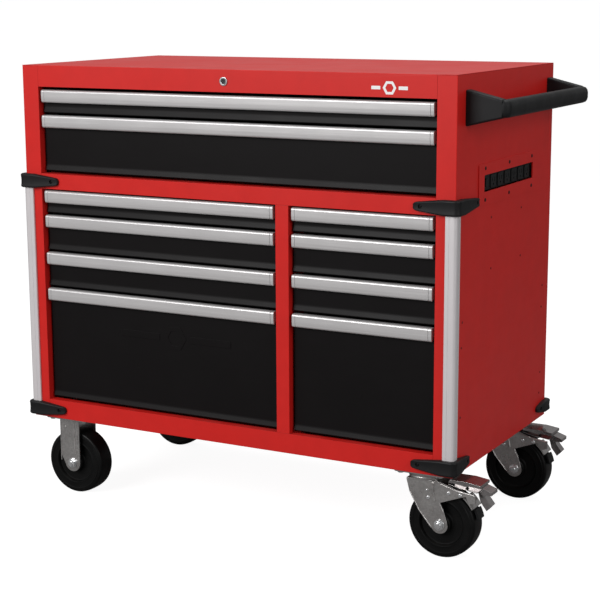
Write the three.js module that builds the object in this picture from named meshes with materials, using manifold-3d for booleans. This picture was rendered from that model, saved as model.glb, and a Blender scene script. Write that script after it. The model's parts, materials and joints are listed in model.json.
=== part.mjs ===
// Rolling tool chest: a sheet steel cabinet with ten drawers on two rigid and two swivelling braked casters.
// Millimetres, +Z up. The front faces -Y, and the push handle is on the +X end.
// Every piece is modelled from the cabinet's front left corner at floor level. The last lines move the whole
// chest so that its origin is at floor level, under the middle of its overall length and depth.
import * as THREE from "three";
import { mergeVertices } from "three/addons/utils/BufferGeometryUtils.js";
import Module from "manifold-3d";

const wasm = await Module();
wasm.setup();

// ---------------------------------------------------------------- driving dimensions
const GAP = 0.3; // between pieces that touch
const OVER = 1; // how far a cutter, or what is joined on, runs past the face that it meets

const body = { width: 1067, depth: 559, height: 822, sheet: 1.2 };
const caster = { overWheel: 38.1, inset: 80, fromFront: 60 };

const frame = {
  stile: 43, // width of each front upright
  topRail: 48,
  middleRail: 35,
  bottomRail: 44,
  mullion: 31, // the upright between the two lower columns
  leftColumn: 613, // clear width of the wide lower column
  topOpening: 197, // clear height of the full width section
  returnDepth: 20, // how far each edge is folded back
};
const backFlange = 25;

const drawer = {
  recess: 15, // from the cabinet's front to the drawer's
  thickness: 10, // of the double front
  sheet: 1,
  sideGap: 5,
  lowGap: 6, // under the lowest drawer of each section
  gap: 5, // from one drawer's front to the next pull
  rise: 3, // from the underside of the front to the underside of the tray
  topDrop: 8, // from the top of the front to the top of the tray's walls
  rearGap: 40, // from the tray to the cabinet's back
};
const pull = {
  height: 26.5,
  reach: 15, // how far it stands out of the drawer's front
  wall: 2,
  nose: 5, // radius of the upper front edge
  curl: 5.6, // how far the lower edge turns in
  endGap: 7, // from the edge of the opening to the pull's end
};
const slide = {
  inset: 10, // from the edge of the opening to the drawer's side
  start: 30, // from the cabinet's front to the slide's front end
  half: 18.5, // half the height of the cabinet member
  wall: 1.5,
  clearance: 1.5,
  lip: 8.5, // depth of the cabinet member's channel
  aboveTray: 18, // from the tray's underside to the slide's centre line
};
const upright = { width: 25, fromFront: 70, fromBack: 79, topGap: 12 };
const stiffener = { length: 700, width: 60, height: 11 };

const post = { proud: 5, frontLeg: 21, sideLeg: 15, radius: 8 };
const bumper = {
  proud: 13,
  height: 32,
  frontArm: 92,
  upperSideArm: 112,
  lowerSideArm: 82,
  full: 25, // of each arm, from the corner to where it starts to taper
  tipHeight: 18,
  tipProud: 8,
  tipCut: 6,
  rearArm: 64,
  rearHeight: 26,
  corner: 13,
  lowerBottom: 5, // above the cabinet's underside
  rearBottom: 12,
};
const handle = {
  reach: 92,
  belowTop: 67.5,
  thickness: 26, // of the brackets and the bar, seen from above
  frontInset: 42, // from the cabinet's front to the front bracket
  rearInset: 16,
  bracketHeight: 72, // at the cabinet's end
  bracketTip: 44, // its height where the bar starts
  bracketLength: 60,
  barHeight: 36,
  outerCorner: 15, // radii of the bar's corners, seen from above
  innerCorner: 4,
};
const lock = {
  flangeRadius: 9.5,
  flangeProud: 2.5,
  barrelRadius: 8,
  barrelLength: 26,
  plugRadius: 5.5,
  keyway: { width: 1.6, height: 7, depth: 8 },
  belowTop: 25,
  camLength: 19,
  camWidth: 11,
  camThickness: 3,
};
const strip = {
  fromFront: 146, // from the cabinet's front to the window
  belowTop: 212,
  windowLength: 287,
  windowHeight: 35.5,
  margin: { front: 29.5, back: 20, top: 24, bottom: 26 }, // of the plate round the window
  plateThickness: 1.5,
  recess: 5,
  depth: 28,
  screwRadius: 3.2,
  screwHead: 1,
  screwInset: { front: 34.5, back: 27.5, edge: 10 }, // from the plate's edges
};
const wheel = {
  radius: 76.2,
  tread: 50.8,
  shoulder: 7,
  hubWidth: 58,
  hubRadius: 22,
  web: 17, // half the thickness between hub and tyre
  tyreInner: 54,
  slope: 3, // of the hub's and the tyre's inner sides
  dish: 1.5, // how far the tyre's sides fall in towards the hub
  boreRadius: 6.4,
  sides: 32,
};
const axle = { radius: 6, headRadius: 10, headHeight: 7 };
const fork = {
  plateLength: 114,
  plateWidth: 102,
  plateThickness: 5,
  raceRadius: 39,
  raceHeight: 15,
  crownThickness: 4,
  legThickness: 3.5,
  legClear: 1.5, // between the hub and each leg
  capRadius: 19,
  crownHalf: 34, // from the swivel axis to the crown's ends
  trail: 42, // from the swivel axis to the axle
  rigidTrail: 4, // from the middle of a rigid caster's plate to its axle
  rigidHalf: 29, // from there to the leg's straight edge
  rigidCapRadius: 21,
  kingpin: { radius: 8, headRadius: 13, headHeight: 5 },
};
const pedal = {
  pivot: { along: 78, below: 40, radius: 4.5 }, // from the swivel axis and the cabinet's underside
  topWidth: 52,
  armWidth: 44,
  lipWidth: 34,
  tabWidth: 22,
};

// Drawers from the top down: the gap over the first pull, then the pitch from each pull to the next.
const topDrawers = { topGap: 7, pitches: [57] };
const columnDrawers = { topGap: 4, pitches: [57, 86.5, 84.5] };

// ---------------------------------------------------------------- places worked out from them
const floorZ = 2 * wheel.radius + caster.overWheel; // the cabinet's underside
const topZ = floorZ + body.height;
const { sheet } = body;
const innerTop = topZ - sheet - GAP;
const innerBottom = floorZ + sheet + GAP;
const opening = {
  left: frame.stile,
  right: body.width - frame.stile,
  top: topZ - frame.topRail,
  bottom: floorZ + frame.bottomRail,
};
opening.shelfTop = opening.top - frame.topOpening;
opening.shelfBottom = opening.shelfTop - frame.middleRail;
opening.mullionLeft = opening.left + frame.leftColumn;
opening.mullionRight = opening.mullionLeft + frame.mullion;
const stripHole = {
  y0: strip.fromFront,
  y1: strip.fromFront + strip.windowLength,
  z0: topZ - strip.belowTop - strip.windowHeight,
  z1: topZ - strip.belowTop,
};
const lockX = body.width / 2;
const lockZ = topZ - lock.belowTop;
const faceY = drawer.recess;
const trayBack = body.depth - drawer.rearGap;

// ---------------------------------------------------------------- materials
const paint = (colour, roughness, metalness) =>
  new THREE.MeshStandardMaterial({ color: colour, roughness, metalness });
const material = {
  redPaint: paint(0xc4241d, 0.45, 0.1),
  blackPaint: paint(0x1b1a1b, 0.5, 0.1),
  aluminium: paint(0xc9c7c6, 0.35, 0.9),
  zinc: paint(0x9b9894, 0.4, 0.85),
  blackPlastic: paint(0x1d1f20, 0.6, 0),
  rubber: paint(0x0d0d0d, 0.65, 0),
  chrome: paint(0xd0d2d4, 0.15, 1),
};

// ---------------------------------------------------------------- solids
function solidOf(geometry) {
  const plain = geometry.index ? geometry.toNonIndexed() : geometry.clone();
  plain.deleteAttribute("normal");
  plain.deleteAttribute("uv");
  const merged = mergeVertices(plain, 1e-3);
  const solid = new wasm.Manifold(
    new wasm.Mesh({
      numProp: 3,
      vertProperties: merged.attributes.position.array,
      triVerts: new Uint32Array(merged.index.array),
    }),
  );
  return solid;
}

function geometryOf(solid) {
  const mesh = solid.getMesh();
  const points = new Float32Array(mesh.numVert * 3);
  for (let i = 0; i < mesh.numVert; i++) {
    points.set(mesh.vertProperties.subarray(i * mesh.numProp, i * mesh.numProp + 3), i * 3);
  }
  return new THREE.BufferGeometry()
    .setAttribute("position", new THREE.BufferAttribute(points, 3))
    .setIndex(new THREE.BufferAttribute(mesh.triVerts, 1));
}

const join = (first, ...rest) => geometryOf(rest.reduce((sum, g) => sum.add(solidOf(g)), solidOf(first)));
const cut = (first, ...rest) => geometryOf(rest.reduce((sum, g) => sum.subtract(solidOf(g)), solidOf(first)));
const common = (a, b) => geometryOf(solidOf(a).intersect(solidOf(b)));

function box(x0, x1, y0, y1, z0, z1) {
  const made = new THREE.BoxGeometry(x1 - x0, y1 - y0, z1 - z0);
  return made.translate((x0 + x1) / 2, (y0 + y1) / 2, (z0 + z1) / 2);
}

// A prism whose section's two coordinates and length run along the three world axes given.
function prism(points, length, across, up, along, origin) {
  const shape = new THREE.Shape(points.map(([a, b]) => new THREE.Vector2(a, b)));
  const made = new THREE.ExtrudeGeometry(shape, { depth: length, bevelEnabled: false });
  return made
    .applyMatrix4(new THREE.Matrix4().makeBasis(across, up, along))
    .translate(origin.x, origin.y, origin.z);
}
const axisX = new THREE.Vector3(1, 0, 0);
const axisY = new THREE.Vector3(0, 1, 0);
const axisZ = new THREE.Vector3(0, 0, 1);
const backY = new THREE.Vector3(0, -1, 0);
const at = (x, y, z) => new THREE.Vector3(x, y, z);
const prismX = (yz, x0, x1) => prism(yz, x1 - x0, axisY, axisZ, axisX, at(x0, 0, 0));
const prismY = (xz, y0, y1) => prism(xz, y1 - y0, axisX, axisZ, backY, at(0, y1, 0));
const prismZ = (xy, z0, z1) => prism(xy, z1 - z0, axisX, axisY, axisZ, at(0, 0, z0));

// A rod along Y.
function rodY(radius, y0, y1, x, z, sides = 24) {
  return new THREE.CylinderGeometry(radius, radius, y1 - y0, sides).translate(x, (y0 + y1) / 2, z);
}

function rodZ(radius, z0, z1, x, y, sides = 24) {
  const made = new THREE.CylinderGeometry(radius, radius, z1 - z0, sides).rotateX(Math.PI / 2);
  return made.translate(x, y, (z0 + z1) / 2);
}

// The outline of a channel: a web from a0 to a1, and a wall at each of its ends that stands up to the lip.
function channel(a0, a1, web, lip, thickness) {
  const inner = web + Math.sign(lip - web) * thickness;
  return [
    [a0, web],
    [a1, web],
    [a1, lip],
    [a1 - thickness, lip],
    [a1 - thickness, inner],
    [a0 + thickness, inner],
    [a0 + thickness, lip],
    [a0, lip],
  ];
}
const turned = (outline) => outline.map(([a, b]) => [b, a]);

function arc(cx, cy, radius, from, to, steps) {
  const points = [];
  for (let i = 0; i <= steps; i++) {
    const a = from + ((to - from) * i) / steps;
    points.push([cx + radius * Math.cos(a), cy + radius * Math.sin(a)]);
  }
  return points;
}

const mirrorX = (geometry, about) =>
  cutOrder(geometry.clone().scale(-1, 1, 1).translate(2 * about, 0, 0));
const mirrorY = (geometry, about) =>
  cutOrder(geometry.clone().scale(1, -1, 1).translate(0, 2 * about, 0));

// A mirrored geometry's triangles are turned round, so that its faces still point outwards.
function cutOrder(geometry) {
  const made = geometry.index ? geometry.toNonIndexed() : geometry;
  const points = made.attributes.position;
  for (let i = 0; i < points.count; i += 3) {
    const a = new THREE.Vector3().fromBufferAttribute(points, i);
    const b = new THREE.Vector3().fromBufferAttribute(points, i + 1);
    points.setXYZ(i, b.x, b.y, b.z);
    points.setXYZ(i + 1, a.x, a.y, a.z);
  }
  return made;
}

const chest = new THREE.Group();
function add(name, geometry, finish) {
  const mesh = new THREE.Mesh(geometry, finish);
  mesh.name = name;
  chest.add(mesh);
  return mesh;
}

// ---------------------------------------------------------------- cabinet shell
// A side panel is folded at the front into the stile and its return, seen here for the left side.
function sidePanel() {
  const end = body.depth - backFlange - GAP;
  const turn = frame.returnDepth;
  const outline = [
    [0, 0],
    [frame.stile, 0],
    [frame.stile, turn],
    [frame.stile - sheet, turn],
    [frame.stile - sheet, sheet],
    [sheet, sheet],
    [sheet, end],
    [0, end],
  ];
  return prismZ(outline, innerBottom, innerTop);
}

function backPanel() {
  return prismZ(channel(0, body.width, body.depth, body.depth - backFlange, sheet), innerBottom, innerTop);
}

// A rail that closes the front between the stiles: its front sheet and the edge folded back from it.
function rail(z0, z1, foldZ) {
  const outline = box(opening.left + GAP, opening.right - GAP, 0, sheet, z0, z1);
  const fold = box(opening.left + GAP, opening.right - GAP, 0, frame.returnDepth, foldZ, foldZ + sheet);
  return join(outline, fold);
}

function topPanel() {
  const lid = box(0, body.width, 0, body.depth, topZ - sheet, topZ);
  const lockHole = rodY(lock.barrelRadius + GAP, -OVER, sheet + OVER, lockX, lockZ);
  const { length, width, height } = stiffener;
  const y0 = (body.depth - width) / 2;
  const hat = channel(y0, y0 + width, topZ - height, topZ - sheet / 2, sheet);
  const x0 = (body.width - length) / 2;
  return join(cut(join(lid, rail(opening.top, topZ, opening.top)), lockHole), prismX(hat, x0, x0 + length));
}

function bottomPan() {
  const floor = box(0, body.width, 0, body.depth, floorZ, floorZ + sheet);
  return join(floor, rail(floorZ, opening.bottom, opening.bottom - sheet));
}

function shelfDivider() {
  const front = rail(opening.shelfBottom, opening.shelfTop, opening.shelfBottom);
  const back = body.depth - sheet - GAP;
  const left = opening.left + GAP;
  const right = opening.right - GAP;
  return join(front, box(left, right, 0, back, opening.shelfTop - sheet, opening.shelfTop));
}

add("top_panel", topPanel(), material.redPaint);
add("bottom_pan", bottomPan(), material.redPaint);
add("back_panel", backPanel(), material.redPaint);
add("left_side_panel", sidePanel(), material.redPaint);
add("shelf_divider", shelfDivider(), material.redPaint);

function rightSidePanel() {
  const panel = mirrorX(sidePanel(), body.width / 2);
  const { y0, y1, z0, z1 } = stripHole;
  return cut(panel, box(body.width - sheet - OVER, body.width + OVER, y0, y1, z0, z1));
}
add("right_side_panel", rightSidePanel(), material.redPaint);

// ---------------------------------------------------------------- drawers
// The fronts of one section's drawers from the top down, each from its underside to the top of its pull.
function fronts(top, bottom, { topGap, pitches }) {
  const tops = [top - topGap];
  for (const pitch of pitches) tops.push(tops[tops.length - 1] - pitch);
  const lows = tops.slice(1).map((next) => next + drawer.gap);
  return [...lows, bottom + drawer.lowGap].map((low, i) => ({ low, top: tops[i] }));
}

const lowerFronts = fronts(opening.shelfBottom, opening.bottom, columnDrawers);
const sections = [
  {
    name: "top_drawer",
    left: opening.left,
    right: opening.right,
    fronts: fronts(opening.top, opening.shelfTop, topDrawers),
  },
  { name: "left_drawer", left: opening.left, right: opening.mullionLeft, fronts: lowerFronts },
  { name: "right_drawer", left: opening.mullionRight, right: opening.right, fronts: lowerFronts },
];

const trayFloor = (front) => front.low + drawer.rise;
const slideZ = (front) => trayFloor(front) + slide.aboveTray;

// A slide member: a channel along Y, with its web upright.
function slideMember(web, lip, half, z) {
  return prismY(turned(channel(z - half, z + half, web, lip, slide.wall)), slide.start, trayBack);
}

// The tray, its double front and the slide members riveted to its sides.
function drawerBody(section, front) {
  const left = section.left + slide.inset;
  const right = section.right - slide.inset;
  const back = faceY + drawer.thickness;
  const { low, top } = front;
  const wall = drawer.sheet;
  const pan = cut(
    box(section.left + drawer.sideGap, section.right - drawer.sideGap, faceY, back, low, top),
    box(
      section.left + drawer.sideGap + wall, section.right - drawer.sideGap - wall,
      faceY + wall, back + OVER,
      low + wall, top - wall,
    ),
  );
  const tray = cut(
    box(left, right, back - wall, trayBack, trayFloor(front), top - drawer.topDrop),
    box(left + wall, right - wall, back, trayBack - wall, trayFloor(front) + wall, top),
  );
  const inner = box(left, right, back - wall, back, low, top);
  const half = slide.half - slide.wall - slide.clearance;
  const members = [
    slideMember(left + wall / 2, section.left + slide.clearance, half, slideZ(front)),
    slideMember(right - wall / 2, section.right - slide.clearance, half, slideZ(front)),
  ];
  return join(pan, inner, tray, ...members);
}

// An aluminium pull along the top edge of the drawer's front: a top lip, a bowed front and a lower edge that
// turns in, open behind for the fingers.
function drawerPull(section, front) {
  const { nose, wall, curl } = pull;
  const back = faceY - GAP;
  const face = faceY - pull.reach;
  const { top } = front;
  const low = top - pull.height;
  const outline = [
    [back, top],
    ...arc(face + nose, top - nose, nose, Math.PI / 2, Math.PI, 4),
    [face, low + 12],
    [face + curl / 4, low + 5],
    [face + curl - 1, low],
    [face + curl, low + wall],
    [face + curl / 4 + wall, low + 6],
    [face + wall, low + 12.4],
    ...arc(face + nose, top - nose, nose - wall, Math.PI, Math.PI / 2, 4),
    [back, top - wall],
  ];
  return prismX(outline, section.left + pull.endGap, section.right - pull.endGap);
}

for (const section of sections) {
  section.fronts.forEach((front, i) => {
    add(`${section.name}_${i + 1}`, drawerBody(section, front), material.blackPaint);
    add(`${section.name}_${i + 1}_pull`, drawerPull(section, front), material.aluminium);
  });
}

// ---------------------------------------------------------------- slide rails and the centre partition
// The cabinet member of a slide. Its web is against the uprights at the opening's edge, and side, 1 or -1, is
// the way from there to the drawer.
function cabinetMember(edge, side, z) {
  return slideMember(edge - side * slide.wall, edge + side * (slide.lip - slide.wall), slide.half, z);
}

const uprightYs = [upright.fromFront, body.depth - upright.fromBack - upright.width];

function uprights(x0, x1, high) {
  const [web, lip] = [Math.min(x0, x1), Math.max(x0, x1)];
  return uprightYs.map((y) =>
    prismZ(turned(channel(y, y + upright.width, web, lip, sheet)), innerBottom, high),
  );
}

// Two slotted uprights on the cabinet's end, with the slides of every drawer that runs beside it.
function wallRails(wall, edge, side, frontsBeside) {
  const posts = uprights(wall + side * GAP, edge - side * slide.wall / 2, innerTop - upright.topGap);
  return join(...posts, ...frontsBeside.map((front) => cabinetMember(edge, side, slideZ(front))));
}

const [topSection, leftSection, rightSection] = sections;
add(
  "left_slide_rails",
  wallRails(sheet, opening.left, 1, [...topSection.fronts, ...leftSection.fronts]),
  material.zinc,
);
add(
  "right_slide_rails",
  wallRails(body.width - sheet, opening.right, -1, [...topSection.fronts, ...rightSection.fronts]),
  material.zinc,
);

// The mullion is the partition's folded front edge. The web behind it carries both columns' inner slides.
function centrePartition() {
  const left = opening.mullionLeft;
  const right = opening.mullionRight;
  const middle = (left + right) / 2;
  const turn = frame.returnDepth;
  const outline = [
    [left, 0],
    [right, 0],
    [right, turn],
    [right - sheet, turn],
    [right - sheet, sheet],
    [middle + sheet / 2, sheet],
    [middle + sheet / 2, trayBack],
    [middle - sheet / 2, trayBack],
    [middle - sheet / 2, sheet],
    [left + sheet, sheet],
    [left + sheet, turn],
    [left, turn],
  ];
  const low = opening.bottom + GAP;
  const high = opening.shelfBottom - GAP;
  const wall = prismZ(outline, low, high);
  const posts = uprights(left + slide.wall / 2, right - slide.wall / 2, high);
  const members = lowerFronts.flatMap((front) => [
    cabinetMember(left, -1, slideZ(front)),
    cabinetMember(right, 1, slideZ(front)),
  ]);
  return join(wall, ...posts, ...members);
}
add("centre_partition", centrePartition(), material.redPaint);

// ---------------------------------------------------------------- corner posts and bumpers
// The upper bumpers are level with the middle rail.
const upperBumperZ = (opening.shelfTop + opening.shelfBottom - bumper.height) / 2;

// An aluminium extrusion round the front left corner, between the two bumpers.
function cornerPost() {
  const { proud, frontLeg, sideLeg, radius } = post;
  const centre = radius - proud;
  const outline = [
    [-GAP, -GAP],
    [-GAP, sideLeg],
    [-proud, sideLeg],
    ...arc(centre, centre, radius, Math.PI, 1.5 * Math.PI, 5),
    [frontLeg, -proud],
    [frontLeg, -GAP],
  ];
  const low = floorZ + bumper.lowerBottom + bumper.height + GAP;
  const high = upperBumperZ - GAP;
  return prismZ(outline, low, high);
}
add("left_corner_post", cornerPost(), material.aluminium);
add("right_corner_post", mirrorX(cornerPost(), body.width / 2), material.aluminium);

// A bumper round the corner at x = 0, y = 0, with one arm along each face. Both arms taper to their tips.
function cornerBumper(frontArm, sideArm, height, bottom) {
  const { proud, tipProud, corner, full, tipCut } = bumper;
  const tip = (bumper.tipHeight * height) / bumper.height;
  const plan = [
    [-GAP, -GAP],
    [-GAP, sideArm],
    [-tipProud / 2, sideArm],
    [-tipProud, sideArm - tipCut],
    [-proud, full],
    [-proud, corner - proud],
    [corner - proud, -proud],
    [full, -proud],
    [frontArm - tipCut, -tipProud],
    [frontArm, -tipProud / 2],
    [frontArm, -GAP],
  ];
  const middle = bottom + height / 2;
  const side = (arm) => [
    [-proud - OVER, bottom],
    [full, bottom],
    [arm - tipCut, middle - tip / 2],
    [arm + OVER, middle - tip / 5],
    [arm + OVER, middle + tip / 5],
    [arm - tipCut, middle + tip / 2],
    [full, bottom + height],
    [-proud - OVER, bottom + height],
  ];
  const solid = prismZ(plan, bottom, bottom + height);
  const seenFromFront = prismY(side(frontArm), -proud - OVER, sideArm + OVER);
  const seenFromSide = prismX(side(sideArm), -proud - OVER, frontArm + OVER);
  return common(common(solid, seenFromFront), seenFromSide);
}

const frontBumper = (sideArm, bottom) =>
  cornerBumper(bumper.frontArm, sideArm, bumper.height, bottom);
const upperBumper = frontBumper(bumper.upperSideArm, upperBumperZ);
const lowerBumper = frontBumper(bumper.lowerSideArm, floorZ + bumper.lowerBottom);
const rearBumper = mirrorY(
  cornerBumper(bumper.rearArm, bumper.rearArm, bumper.rearHeight, floorZ + bumper.rearBottom),
  body.depth / 2,
);
add("upper_left_bumper", upperBumper, material.blackPlastic);
add("upper_right_bumper", mirrorX(upperBumper, body.width / 2), material.blackPlastic);
add("lower_front_left_bumper", lowerBumper, material.blackPlastic);
add("lower_front_right_bumper", mirrorX(lowerBumper, body.width / 2), material.blackPlastic);
add("lower_rear_left_bumper", rearBumper, material.blackPlastic);
add("lower_rear_right_bumper", mirrorX(rearBumper, body.width / 2), material.blackPlastic);

// ---------------------------------------------------------------- push handle
const handleZ = topZ - handle.belowTop;
const barStart = body.width + handle.bracketLength;

// A slab that stands on the cabinet's end from y0 and gets lower towards the bar.
function handleBracket(y0) {
  const half = handle.bracketHeight / 2;
  const tip = handle.bracketTip / 2;
  const outline = [
    [body.width + GAP, handleZ - half],
    [barStart - GAP, handleZ - tip],
    [barStart - GAP, handleZ + tip],
    [body.width + GAP, handleZ + half],
  ];
  return prismY(outline, y0, y0 + handle.thickness);
}

// Seen from above, the bar leaves one bracket, turns along the cabinet's end and turns back into the other.
// Each station has a point on its inner side, one on its outer side and the height there.
function handleBar() {
  const { reach, thickness, outerCorner, innerCorner, bracketTip, barHeight } = handle;
  const outerX = body.width + reach;
  const innerX = outerX - thickness;
  const [front, back] = [handle.frontInset, body.depth - handle.rearInset];
  const rounding = (x, y, radius, way) =>
    arc(x - radius, y + way * radius, radius, (-way * Math.PI) / 2, 0, 6);
  const corner = (outerY, way) => {
    const inner = rounding(innerX, outerY + way * thickness, innerCorner, way);
    const outer = rounding(outerX, outerY, outerCorner, way);
    return outer.map((point, i) => ({ inner: inner[i], outer: point, height: barHeight }));
  };
  const end = (outerY, way) => ({
    inner: [barStart, outerY + way * thickness],
    outer: [barStart, outerY],
    height: bracketTip,
  });
  return loft([end(front, 1), ...corner(front, 1), ...corner(back, -1).reverse(), end(back, -1)], handleZ);
}

// A bar with an oval section at each station, closed at both ends.
function loft(stations, z) {
  const sides = 16;
  const bulge = 0.7; // 1 would make the section an ellipse, and smaller makes it squarer
  const shaped = (value) => Math.sign(value) * Math.abs(value) ** bulge;
  const rings = stations.map(({ inner, outer, height }) =>
    Array.from({ length: sides }, (_, k) => {
      const a = (2 * Math.PI * (k + 0.5)) / sides;
      const across = (1 + shaped(Math.cos(a))) / 2;
      const x = inner[0] + (outer[0] - inner[0]) * across;
      const y = inner[1] + (outer[1] - inner[1]) * across;
      return at(x, y, z + (shaped(Math.sin(a)) * height) / 2);
    }),
  );
  const triangles = [];
  for (let i = 1; i < rings.length; i++) {
    for (let k = 0; k < sides; k++) {
      const next = (k + 1) % sides;
      const [a, b, c, d] = [rings[i - 1][k], rings[i - 1][next], rings[i][next], rings[i][k]];
      triangles.push(a, c, b, a, d, c);
    }
  }
  const [first, last] = [rings[0], rings[rings.length - 1]];
  for (let k = 1; k < sides - 1; k++) {
    triangles.push(first[0], first[k], first[k + 1]);
    triangles.push(last[0], last[k + 1], last[k]);
  }
  return new THREE.BufferGeometry().setFromPoints(triangles);
}

add("handle_front_bracket", handleBracket(handle.frontInset), material.blackPlastic);
add("handle_bar", handleBar(), material.blackPlastic);
add(
  "handle_rear_bracket",
  handleBracket(body.depth - handle.rearInset - handle.thickness),
  material.blackPlastic,
);

// ---------------------------------------------------------------- power strip
// The cover plate, with its window and two rows of three screws.
function stripPlate() {
  const x0 = body.width + GAP;
  const x1 = x0 + strip.plateThickness;
  const hole = stripHole;
  const { margin, screwInset } = strip;
  const [y0, y1] = [hole.y0 - margin.front, hole.y1 + margin.back];
  const [z0, z1] = [hole.z0 - margin.bottom, hole.z1 + margin.top];
  const [firstY, lastY] = [y0 + screwInset.front, y1 - screwInset.back];
  const screws = [firstY, (firstY + lastY) / 2, lastY].flatMap((y) =>
    [z0 + screwInset.edge, z1 - screwInset.edge].map((z) => {
      const length = strip.screwHead + strip.plateThickness / 2;
      const head = new THREE.CylinderGeometry(strip.screwRadius, strip.screwRadius, length, 10);
      return head.rotateZ(Math.PI / 2).translate(x1 + strip.screwHead - length / 2, y, z);
    }),
  );
  const plate = box(x0, x1, y0, y1, z0, z1);
  return join(cut(plate, box(x0 - OVER, x1 + OVER, hole.y0, hole.y1, hole.z0, hole.z1)), ...screws);
}

function powerStrip() {
  const hole = stripHole;
  const x1 = body.width - strip.recess;
  return box(
    x1 - strip.depth, x1,
    hole.y0 + GAP, hole.y1 - GAP,
    hole.z0 + GAP, hole.z1 - GAP,
  );
}
add("strip_cover_plate", stripPlate(), material.redPaint);
add("power_strip", powerStrip(), material.blackPlastic);

// ---------------------------------------------------------------- lock
function lockBarrel() {
  const barrel = rodY(lock.barrelRadius, -lock.flangeProud / 2, lock.barrelLength, lockX, lockZ);
  const flange = rodY(lock.flangeRadius, -lock.flangeProud, -GAP, lockX, lockZ);
  const bore = rodY(lock.plugRadius + GAP, -lock.flangeProud - OVER, lock.barrelLength + OVER, lockX, lockZ);
  return cut(join(barrel, flange), bore);
}

// The turning plug, with its keyway and the cam behind the barrel.
function lockPlug() {
  const end = lock.barrelLength + GAP;
  const plug = rodY(lock.plugRadius, -lock.flangeProud, end + lock.camThickness, lockX, lockZ);
  const { width, height, depth } = lock.keyway;
  const keyway = box(
    lockX - width / 2, lockX + width / 2,
    -lock.flangeProud - OVER, depth,
    lockZ - height / 2, lockZ + height / 2,
  );
  const half = lock.camWidth / 2;
  const cam = box(
    lockX - half, lockX + half,
    end, end + lock.camThickness,
    lockZ - lock.camLength, lockZ + half,
  );
  return join(cut(plug, keyway), cam);
}
add("lock_barrel", lockBarrel(), material.chrome);
add("lock_plug", lockPlug(), material.chrome);

// ---------------------------------------------------------------- casters
const axleZ = wheel.radius;
const legInside = wheel.hubWidth / 2 + fork.legClear;
const legOutside = legInside + fork.legThickness;
const plateBottom = floorZ - GAP - fork.plateThickness;
const crownTop = plateBottom - fork.raceHeight - GAP;

function casterWheel(x, y) {
  const { radius, shoulder, hubRadius, tyreInner, slope, web } = wheel;
  const halfTread = wheel.tread / 2;
  const half = [
    [wheel.boreRadius, wheel.hubWidth / 2],
    [hubRadius, wheel.hubWidth / 2],
    [hubRadius + slope, web],
    [tyreInner, web],
    [tyreInner + slope, halfTread - wheel.dish],
    ...arc(radius - shoulder, halfTread - shoulder, shoulder, Math.PI / 2, 0, 3),
  ];
  const ring = [...half.map(([a, b]) => [a, -b]), ...half.reverse()];
  ring.push(ring[0]);
  const profile = ring.map(([a, b]) => new THREE.Vector2(a, b));
  return new THREE.LatheGeometry(profile, wheel.sides).translate(x, y, axleZ);
}

function axleBolt(x, y) {
  const inner = legOutside + GAP;
  const outer = inner + axle.headHeight;
  const shank = rodY(axle.radius, y - outer, y + outer, x, axleZ, 20);
  const heads = [[y - outer, y - inner], [y + inner, y + outer]].map(([y0, y1]) =>
    rodY(axle.headRadius, y0, y1, x, axleZ, 6),
  );
  return join(shank, ...heads);
}

// Both legs of a fork, from the outline of one.
function legs(outline, y) {
  return [
    prismY(outline, y - legOutside, y - legInside),
    prismY(outline, y + legInside, y + legOutside),
  ];
}

function mountingPlate(x, y) {
  const halfX = fork.plateLength / 2;
  const halfY = fork.plateWidth / 2;
  return box(x - halfX, x + halfX, y - halfY, y + halfY, plateBottom, floorZ - GAP);
}

// The rigid caster is one pressing: its legs hang from the mounting plate.
function rigidFork(x, y) {
  const axleX = x + fork.rigidTrail;
  const r = fork.rigidCapRadius;
  const edge = x - fork.rigidHalf;
  const crown = plateBottom - fork.crownThickness;
  const outline = [
    [edge, plateBottom + OVER],
    [edge, axleZ + r],
    ...arc(axleX, axleZ, r, Math.PI * 1.08, Math.PI * 2, 10),
    [axleX + r, plateBottom + OVER],
  ];
  const web = box(edge, axleX + r, y - legOutside, y + legOutside, crown, plateBottom + OVER);
  const hole = rodY(axle.radius + GAP, y - legOutside - OVER, y + legOutside + OVER, axleX, axleZ, 20);
  return cut(join(mountingPlate(x, y), web, ...legs(outline, y)), hole);
}

// The fixed half of a swivel: the mounting plate with the upper race under it and the kingpin through it.
function swivelPlate(x, y) {
  const raceBottom = plateBottom - fork.raceHeight;
  const race = rodZ(fork.raceRadius, raceBottom, plateBottom + OVER, x, y, 32);
  const { radius, headRadius, headHeight } = fork.kingpin;
  const headTop = crownTop - fork.crownThickness - GAP;
  const pin = rodZ(radius, headTop - OVER, raceBottom + OVER, x, y, 16);
  const head = rodZ(headRadius, headTop - headHeight, headTop, x, y, 20);
  return join(mountingPlate(x, y), race, pin, head);
}

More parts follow.
